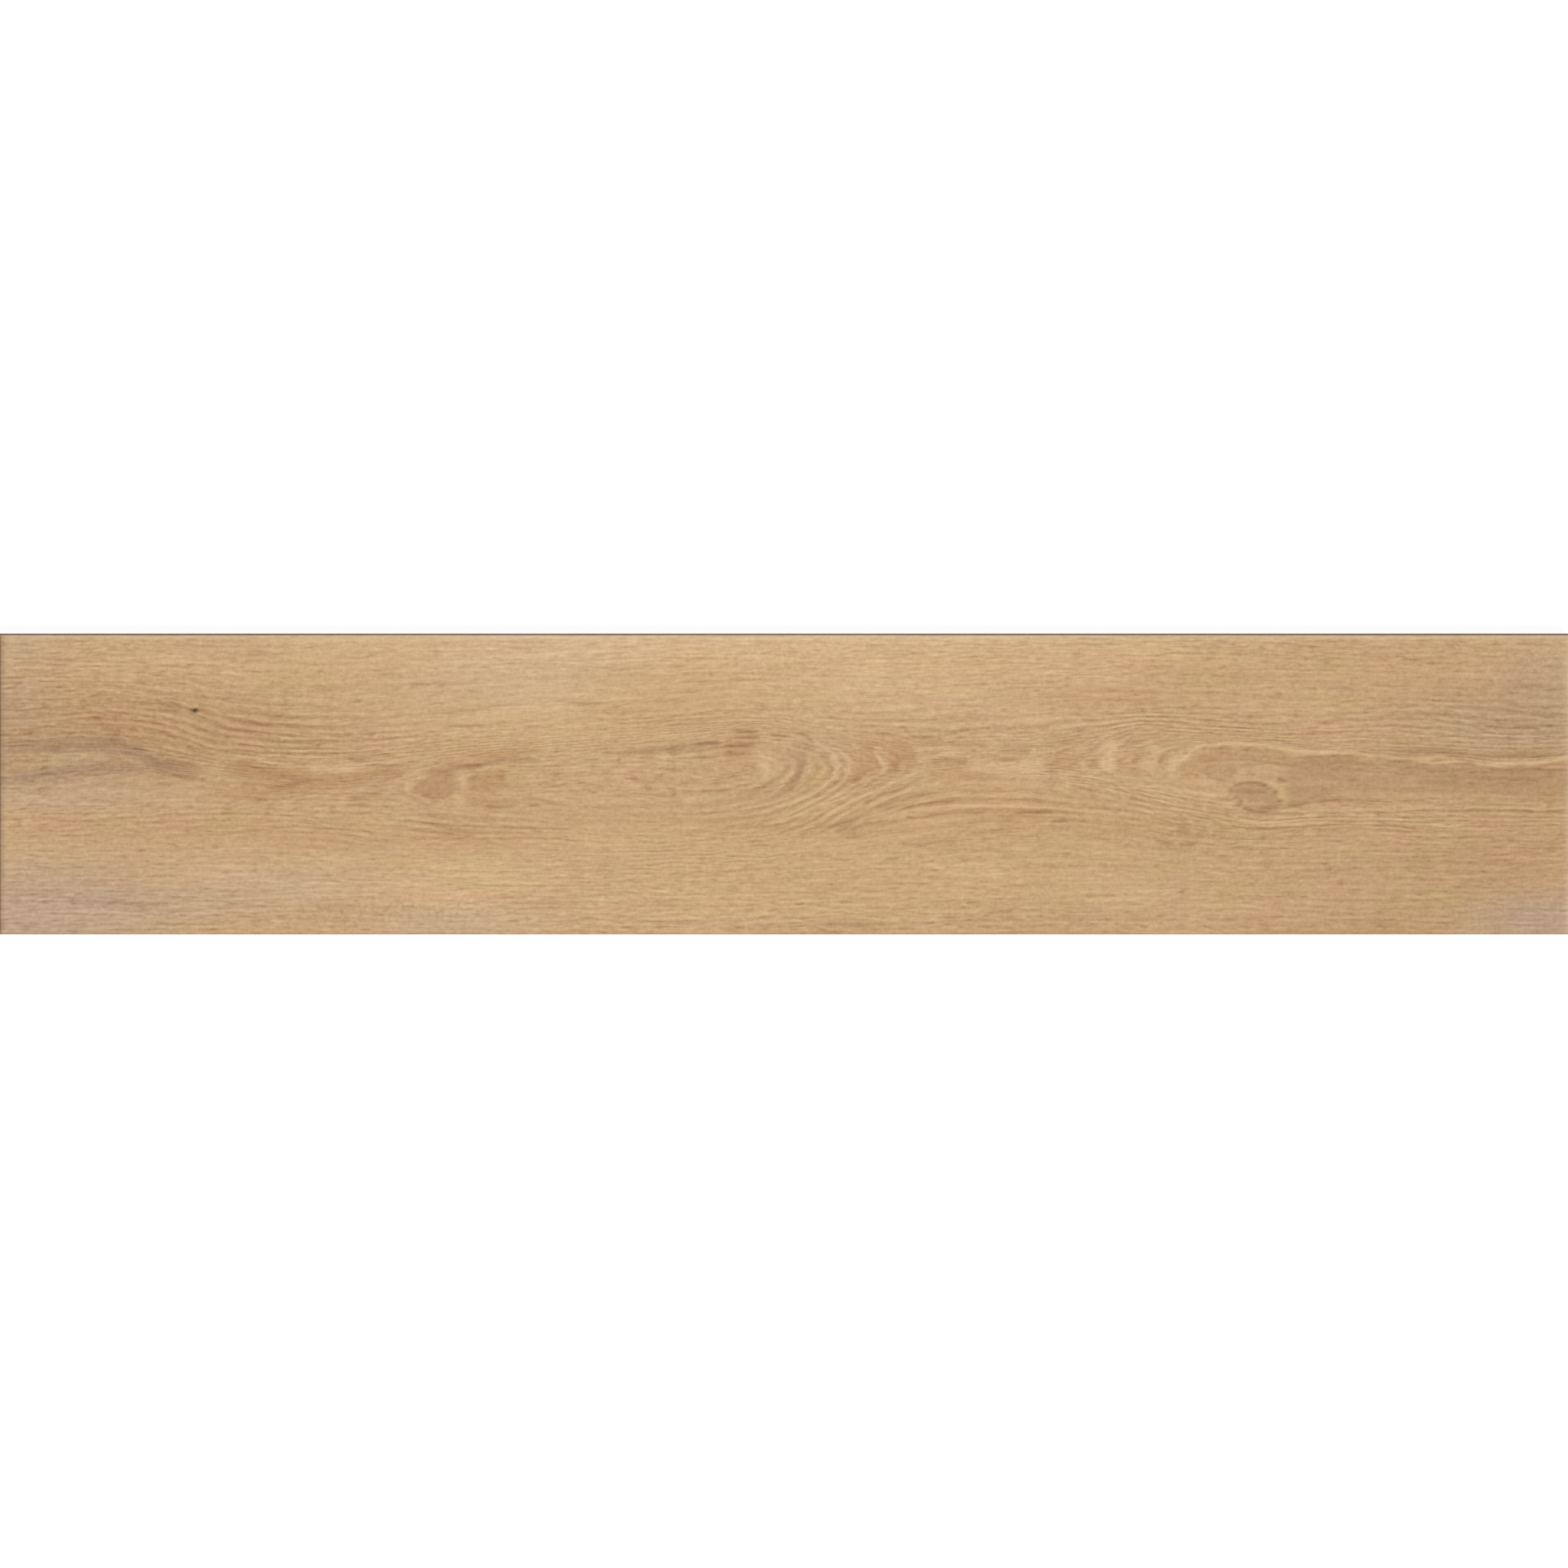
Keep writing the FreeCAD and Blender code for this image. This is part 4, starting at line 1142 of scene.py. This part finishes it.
def grain_relief_tree():
    """Presses the growth rings and the fine grain down into the glazed face."""
    tree, given = geometry_tree("pressed_grain", {
        "Ring groove": "Float", "Grain ripple": "Float", "Seed": "Float", "Glaze": "Material",
    })
    add = partial(add_node, tree)
    show, press, radius, side, turns, figure = [
        add("GeometryNodeInputNamedAttribute", {"Name": name}, data_type="FLOAT")
        for name in ("ring_show", "press", "ring_radius", "grain_side", "ring_turns", "figure")
    ]
    along = add("ShaderNodeSeparateXYZ", [add("GeometryNodeInputPosition")])
    grain = add("ShaderNodeCombineXYZ", [along, radius, side])
    paced = add("ShaderNodeVectorMath", [grain, RIPPLE_PACE], operation="MULTIPLY")
    ripple = add("ShaderNodeTexNoise", {
        "Vector": paced, "W": given["Seed"], "Scale": 1.0, "Detail": 2.0, "Roughness": 0.6,
    }, noise_dimensions="4D")
    angle = add("ShaderNodeMath", [turns, 2 * math.pi], operation="MULTIPLY")
    crest = add("ShaderNodeMath", [angle], operation="COSINE")
    valley = add("ShaderNodeMath", [crest, 0.5, 0.5], operation="MULTIPLY_ADD")
    groove = add("ShaderNodeMath", [valley, GROOVE_SHARPNESS], operation="POWER")
    for share in (figure, show, given["Ring groove"]):
        groove = add("ShaderNodeMath", [groove, share], operation="MULTIPLY")
    depth = add("ShaderNodeMath", [ripple, given["Grain ripple"], groove], operation="MULTIPLY_ADD")
    pressed = add("ShaderNodeMath", [depth, press], operation="MULTIPLY")
    down = add("ShaderNodeMath", [pressed, -1.0], operation="MULTIPLY")
    shift = add("ShaderNodeCombineXYZ", {"Z": down})
    moved = add("GeometryNodeSetPosition", {"Geometry": given["Geometry"], "Offset": shift})
    glazed = add("ShaderNodeMath", [add("GeometryNodeInputMaterialIndex"), 0.5], operation="LESS_THAN")
    end_geometry_tree(tree, moved, given["Glaze"], glazed)
    return tree


def closed_plank(half, thickness, cells):
    """The whole plank as one closed mesh, in metres: face, arris, sides, ribbed back and its cells."""
    mesh = bmesh.new()
    face_half = (half[0] - ARRIS_RADIUS, half[1] - ARRIS_RADIUS)
    columns = graded_lines(face_half[0], FIGURE_SPAN, COLUMN_WIDTHS)
    rows = graded_lines(face_half[1], FIGURE_BAND, ROW_WIDTHS)
    edge = add_face(mesh, columns, rows, thickness)
    back_edges = add_sides(mesh, edge, face_half, thickness, half)
    bmesh.ops.scale(mesh, vec=(MM, MM, MM), verts=mesh.verts)
    before = len(mesh.faces)
    mesh.from_mesh(cells)
    mesh.faces.ensure_lookup_table()
    outer = set(back_edges)
    rims = [e for e in mesh.edges if e.is_boundary and e not in outer]
    net = bmesh.ops.triangle_fill(mesh, use_beauty=True, edges=back_edges + rims, normal=(0, 0, -1))
    ribs = [item for item in net["geom"] if isinstance(item, bmesh.types.BMFace)]
    for face in [*mesh.faces[before:], *ribs]:
        face.material_index = 1
    bmesh.ops.recalc_face_normals(mesh, faces=mesh.faces)
    made = bpy.data.meshes.new("plank")
    mesh.to_mesh(made)
    mesh.free()
    return made


def store_fields(mesh, half, thickness):
    """Writes the figure's fields, how far the grain is pressed in, and the painted shade and painted
    highlight along the edges, on the mesh's points.
    """
    place = np.zeros(len(mesh.vertices) * 3, np.float32)
    mesh.vertices.foreach_get("co", place)
    x, y, z = place.reshape(-1, 3).astype(float).T / MM
    fields = figure_fields(x, y)
    from_edge = np.minimum(half[0] - np.abs(x), half[1] - np.abs(y)) - ARRIS_RADIUS
    on_face = z > thickness - FACE_TOLERANCE
    fields["press"] = np.where(on_face, np.clip(from_edge / RELIEF_FADE, 0, 1), 0)
    inward = {"left": half[0] + x, "right": half[0] - x, "rear": half[1] - y, "front": half[1] + y}
    # A dark line of painted shade at each edge, and a pale line of painted highlight inside it
    fields["edge_shade"], fields["edge_highlight"] = np.zeros_like(x), np.zeros_like(x)
    for side, (shade_strength, shade_width, highlight_strength, highlight_width) in EDGE_SHADE_AND_HIGHLIGHT.items():
        dark = shade_strength * np.exp(-((inward[side] / shade_width) ** SHADE_LINE_CRISPNESS))
        pale = highlight_strength * np.exp(-((inward[side] / highlight_width) ** 2))
        fields["edge_shade"] = np.maximum(fields["edge_shade"], dark)
        fields["edge_highlight"] = np.maximum(fields["edge_highlight"], pale)
    for name, values in fields.items():
        mesh.attributes.new(name, "FLOAT", "POINT").data.foreach_set("value", values.astype(np.float32))


def srgb(code):
    """Linear colour, with alpha, of an sRGB hex value."""
    shares = [int(code[start:start + 2], 16) / 255 for start in (1, 3, 5)]
    linear = [share / 12.92 if share <= 0.04045 else ((share + 0.055) / 1.055) ** 2.4 for share in shares]
    return (*linear, 1.0)


def grey(value):
    """A linear level of grey, with alpha."""
    return (value, value, value, 1.0)


def emptied_tree(owner):
    """The node tree of a material or a world, with nothing in it yet."""
    owner.use_nodes = True
    owner.node_tree.nodes.clear()
    return owner.node_tree


def streaks(add, fields, grains, shape):
    """Streaks along the grain, centred on 0. Some turn round the rings of the figure."""
    length, width, detail, rough, round_rings = shape
    levels = []
    for grain in grains[:3 if round_rings else 2]:
        paced = add("ShaderNodeVectorMath", [grain, (1 / length, 1 / width, SIDE_PACE)], operation="MULTIPLY")
        levels.append(add("ShaderNodeTexNoise", {
            "Vector": paced, "Scale": 1.0, "Detail": detail, "Roughness": rough,
        }))
    # Inputs of a Mix node by number: 0 is the share of the second, 2 and 3 are numbers, 6 and 7 colours
    level = add("ShaderNodeMix", {0: fields["spread"], 2: levels[0], 3: levels[1]})
    if round_rings:
        level = add("ShaderNodeMix", {0: fields["figure"], 2: level, 3: levels[2]})
    return add("ShaderNodeMath", [level, 0.5], operation="SUBTRACT")


def ring_lines(add, fields, medium):
    """The dark and pale of the rings, centred on 0: each of its own strength, and patchy along its length."""
    waves = []
    for name in ("level_turns", "ring_turns"):
        force = add("ShaderNodeTexNoise", {
            "W": fields[name], "Scale": FORCE_PACE, "Detail": 1.0,
        }, noise_dimensions="1D")
        strength = add("ShaderNodeMath", [force, FORCE_SWING, LEAST_FORCE], operation="MULTIPLY_ADD")
        angle = add("ShaderNodeMath", [fields[name], 2 * math.pi], operation="MULTIPLY")
        wave = add("ShaderNodeMath", [angle], operation="SINE")
        waves.append(add("ShaderNodeMath", [wave, strength], operation="MULTIPLY"))
    rings = add("ShaderNodeMix", {0: fields["figure"], 2: waves[0], 3: waves[1]})
    patchy = add("ShaderNodeMath", [medium, RING_PATCHINESS, RING_STRENGTH], operation="MULTIPLY_ADD")
    for share in (fields["ring_show"], patchy):
        rings = add("ShaderNodeMath", [rings, share], operation="MULTIPLY")
    return rings


def weighted_sum(add, start, terms):
    """A number plus each of the terms, which are (value, weight)."""
    total = start
    for value, weight in terms:
        total = add("ShaderNodeMath", [value, weight, total], operation="MULTIPLY_ADD")
    return total


def grain_places(add, fields, place):
    """Places as the grain sees them: along the plank, and across straight, closer and ringed grain."""
    along = add("ShaderNodeMath", [add("ShaderNodeSeparateXYZ", [place]), 1 / MM], operation="MULTIPLY")
    closer = add("ShaderNodeMath", [fields["grain_level"], CLOSER_GRAIN], operation="MULTIPLY")
    return [
        add("ShaderNodeCombineXYZ", [along, across, side]) for across, side in
        ((fields["grain_level"], 0.0), (closer, 0.0), (fields["ring_radius"], fields["grain_side"]))
    ]


def speck_noises(add, place):
    """The specks that don't follow the grain, centred on 0, by name."""
    specks = {}
    for name, (size, detail, contrast) in SPECKS.items():
        noise = add("ShaderNodeTexNoise", {"Vector": place, "Scale": 1 / (size * MM), "Detail": detail})
        specks[name] = add("ShaderNodeMath", [noise, contrast, -contrast / 2], operation="MULTIPLY_ADD")
    return specks


def inked(add, fields, streak, level):
    """The colour of the print, by its lightness: the board's ink, then the others over it in turn, and last
    the painted highlight and painted shade along the edges.
    """
    breaking = add("ShaderNodeMath", [streak["long"], PIGMENT_SHARE], operation="ADD")
    shares = [(name, streak[name], contrast) for name, contrast in HUE_CONTRAST.items()]
    shares += [(name, fields[name], breaking) for name in PIGMENTS]
    covers = {name: add("ShaderNodeMath", [share, by], operation="MULTIPLY") for name, share, by in shares}
    # The painted highlight and painted shade along the edges go on last, at their full strength
    covers.update({name: fields[name] for name in PAINTED_EDGE_LIGHT})
    inks = {
        name: add("ShaderNodeMix", {0: level, 6: srgb(dark), 7: srgb(pale)}, 2, data_type="RGBA")
        for name, (dark, pale) in INKS.items()
    }
    colour = inks["board"]
    for name, cover in covers.items():
        colour = add("ShaderNodeMix", {0: cover, 6: colour, 7: inks[name]}, 2, data_type="RGBA")
    return colour


def printed_wood(add):
    """The inkjet print under the glaze, with painted shade and highlight along its edges: its colour, and the
    fine height of the grain for the bump.
    """
    names = (
        "ring_radius", "grain_side", "grain_level", "spread", "figure", "ring_turns", "level_turns",
        "ring_show", "mottle", "tone", "calm", *PIGMENTS, *PAINTED_EDGE_LIGHT,
    )
    fields = {name: add("ShaderNodeAttribute", output="Fac", attribute_name=name) for name in names}
    place = add("ShaderNodeTexCoord", output="Object")
    grains = grain_places(add, fields, place)
    streak = {name: streaks(add, fields, grains, shape) for name, shape in STREAKS.items()}
    rings = ring_lines(add, fields, streak["medium"])
    specks = speck_noises(add, place)
    pores = add("ShaderNodeMapRange", [streak["pores"], *PORE_LEVELS, 0.0, PORE_DARKNESS])

    woven = weighted_sum(add, 0.0, [(streak[name], CONTRAST[name]) for name in ("fine", "long", "short")])
    texture = add("ShaderNodeMix", {0: fields["mottle"], 2: woven, 3: specks["mottle"]})
    liveliness = add("ShaderNodeMath", [1.0, fields["calm"]], operation="SUBTRACT")
    texture = add("ShaderNodeMath", [texture, liveliness, specks["grit"]], operation="MULTIPLY_ADD")
    level = weighted_sum(add, MIDDLE_LEVEL, [
        (texture, 1.0), (streak["medium"], CONTRAST["medium"]), (streak["broad"], CONTRAST["broad"]),
        (rings, RING_CONTRAST), (fields["tone"], 1.0), (pores, -1.0),
    ])
    height = weighted_sum(add, texture, [(rings, RING_HEIGHT), (pores, PORE_HEIGHT)])
    return inked(add, fields, streak, level), height


def matt_printed_glaze():
    """Matt silica glaze over an inkjet wood print: a dull even sheen, slightly broken by the grain."""
    material = bpy.data.materials.new("matt_printed_glaze")
    add = partial(add_node, emptied_tree(material))
    colour, height = printed_wood(add)
    bump = add("ShaderNodeBump", {"Height": height, "Distance": GLAZE_BUMP * MM, "Strength": 1.0})
    shader = add("ShaderNodeBsdfPrincipled", {
        "Base Color": colour, "Normal": bump, "Roughness": 0.55, "IOR": 1.5, "Specular IOR Level": 0.3,
    })
    add("ShaderNodeOutputMaterial", [shader])
    return material


def fired_porcelain():
    """Unglazed porcelain body: pale grey beige, dull and gritty, with white release wash on its ribs."""
    material = bpy.data.materials.new("fired_porcelain")
    add = partial(add_node, emptied_tree(material))
    place = add("ShaderNodeTexCoord", output="Object")
    noises = {}
    for name, (size, detail, rough) in BODY_NOISES.items():
        noises[name] = add("ShaderNodeTexNoise", {
            "Vector": place, "Scale": 1 / (size * MM), "Detail": detail, "Roughness": rough,
        })
    level = add("ShaderNodeMix", {0: CLOUD_SHARE, 2: noises["grit"], 3: noises["clouds"]})
    body = add("ShaderNodeValToRGB", [level])
    body.node.color_ramp.elements.new(0.5)
    for stop, (position, code) in zip(body.node.color_ramp.elements, BODY_SHADES):
        stop.position = position
        stop.color = srgb(code)
    height = add("ShaderNodeSeparateXYZ", [place], "Z")
    on_ribs = add("ShaderNodeMath", [height, WASH_REACH * MM], operation="LESS_THAN")
    wash = add("ShaderNodeMapRange", [noises["clouds"], *WASH_LEVELS, 0.0, WASH_STRENGTH])
    washed = add("ShaderNodeMath", [on_ribs, wash], operation="MULTIPLY")
    colour = add("ShaderNodeMix", {0: washed, 6: body, 7: srgb(RELEASE_WASH)}, 2, data_type="RGBA")
    bump = add("ShaderNodeBump", {
        "Height": noises["grit"], "Distance": GRIT_BUMP * MM, "Strength": 0.6,
    })
    shader = add("ShaderNodeBsdfPrincipled", {
        "Base Color": colour, "Normal": bump, "Roughness": 0.72, "IOR": 1.5,
    })
    add("ShaderNodeOutputMaterial", [shader])
    return material


def make_plank(half, thickness):
    """The finished plank, which stands for the whole solid tile."""
    glaze, body = matt_printed_glaze(), fired_porcelain()
    mesh = closed_plank(half, thickness, keying_cells(half, body))
    mesh.materials.append(glaze)
    mesh.materials.append(body)
    store_fields(mesh, half, thickness)
    pressed = applied(mesh, grain_relief_tree(), {
        "Ring groove": RING_GROOVE * MM, "Grain ripple": GRAIN_RIPPLE * MM,
        "Seed": RELIEF_SEED, "Glaze": glaze,
    })
    pressed.polygons.foreach_set("use_smooth", [True] * len(pressed.polygons))
    pressed.set_sharp_from_angle(angle=SHARP_EDGE)
    plank = bpy.data.objects.new("wood_look_plank", pressed)
    bpy.context.scene.collection.objects.link(plank)
    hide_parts(NODE)
    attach(plank, "root")


def seen_directly(add):
    """1 for rays that show a surface to the camera, straight, mirrored or through glass."""
    rays = add("ShaderNodeLightPath").node.outputs
    seen = rays["Is Camera Ray"]
    for name in ("Is Glossy Ray", "Is Transmission Ray"):
        seen = add("ShaderNodeMath", [seen, rays[name]], operation="MAXIMUM")
    return seen


def white_floor(floor_z):
    """A wide white floor that keeps a faint shadow of the tile."""
    far = FLOOR_HALF_METRES
    mesh = bpy.data.meshes.new("floor")
    corners = ((-far, -far), (far, -far), (far, far), (-far, far))
    mesh.from_pydata([(x, y, floor_z) for x, y in corners], [], [(0, 1, 2, 3)])
    material = bpy.data.materials.new("white_paper_floor")
    add = partial(add_node, emptied_tree(material))
    lit = add("ShaderNodeBsdfDiffuse", {"Color": grey(FLOOR_GREY)})
    shaded = add("ShaderNodeBsdfDiffuse", {"Color": grey(SEEN_FLOOR_GREY)})
    glow = add("ShaderNodeEmission", [grey(1.0), SEEN_FLOOR_GLOW])
    shown = add("ShaderNodeAddShader", [shaded, glow])
    either = add("ShaderNodeMixShader", [seen_directly(add), lit, shown])
    add("ShaderNodeOutputMaterial", [either])
    mesh.materials.append(material)
    floor = bpy.data.objects.new("floor", mesh)
    bpy.context.scene.collection.objects.link(floor)


def studio_light():
    """Even light from all round, white to the camera, and one soft lamp from the lower right."""
    world = bpy.data.worlds.new("studio")
    bpy.context.scene.world = world
    add = partial(add_node, emptied_tree(world))
    ambient, backdrop = [
        add("ShaderNodeBackground", [grey(1.0), strength]) for strength in (WORLD_LIGHT, 1.0)
    ]
    add("ShaderNodeOutputWorld", [add("ShaderNodeMixShader", [seen_directly(add), ambient, backdrop])])
    lamp = bpy.data.lights.new("soft_lamp", "SUN")
    lamp.energy = SUN_IRRADIANCE
    lamp.angle = SUN_SOFTNESS
    sun = bpy.data.objects.new("soft_lamp", lamp)
    towards = Vector((
        math.cos(SUN_FROM) * math.cos(SUN_ELEVATION),
        math.sin(SUN_FROM) * math.cos(SUN_ELEVATION),
        math.sin(SUN_ELEVATION),
    ))
    sun.rotation_euler = towards.to_track_quat("Z", "Y").to_euler()
    bpy.context.scene.collection.objects.link(sun)


def top_camera(low, high):
    """A long lens straight above the tile, with the plank filling the frame from side to side."""
    camera = bpy.data.cameras.new("camera")
    camera.lens = LENS
    camera.sensor_width = SENSOR_WIDTH
    eye = bpy.data.objects.new("camera", camera)
    distance = (high.x - low.x) * FRAME_FILL * LENS / SENSOR_WIDTH
    eye.location = ((low.x + high.x) / 2, (low.y + high.y) / 2, high.z + distance)
    bpy.context.scene.collection.objects.link(eye)
    bpy.context.scene.camera = eye


def main():
    """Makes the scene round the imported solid."""
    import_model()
    low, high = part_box(NODE)
    half = ((high.x - low.x) / 2 / MM, (high.y - low.y) / 2 / MM)
    thickness = (high.z - low.z) / MM
    top_camera(low, high)
    make_plank(half, thickness)
    white_floor(low.z)
    studio_light()
    bpy.context.scene.view_settings.view_transform = "Standard"


main()
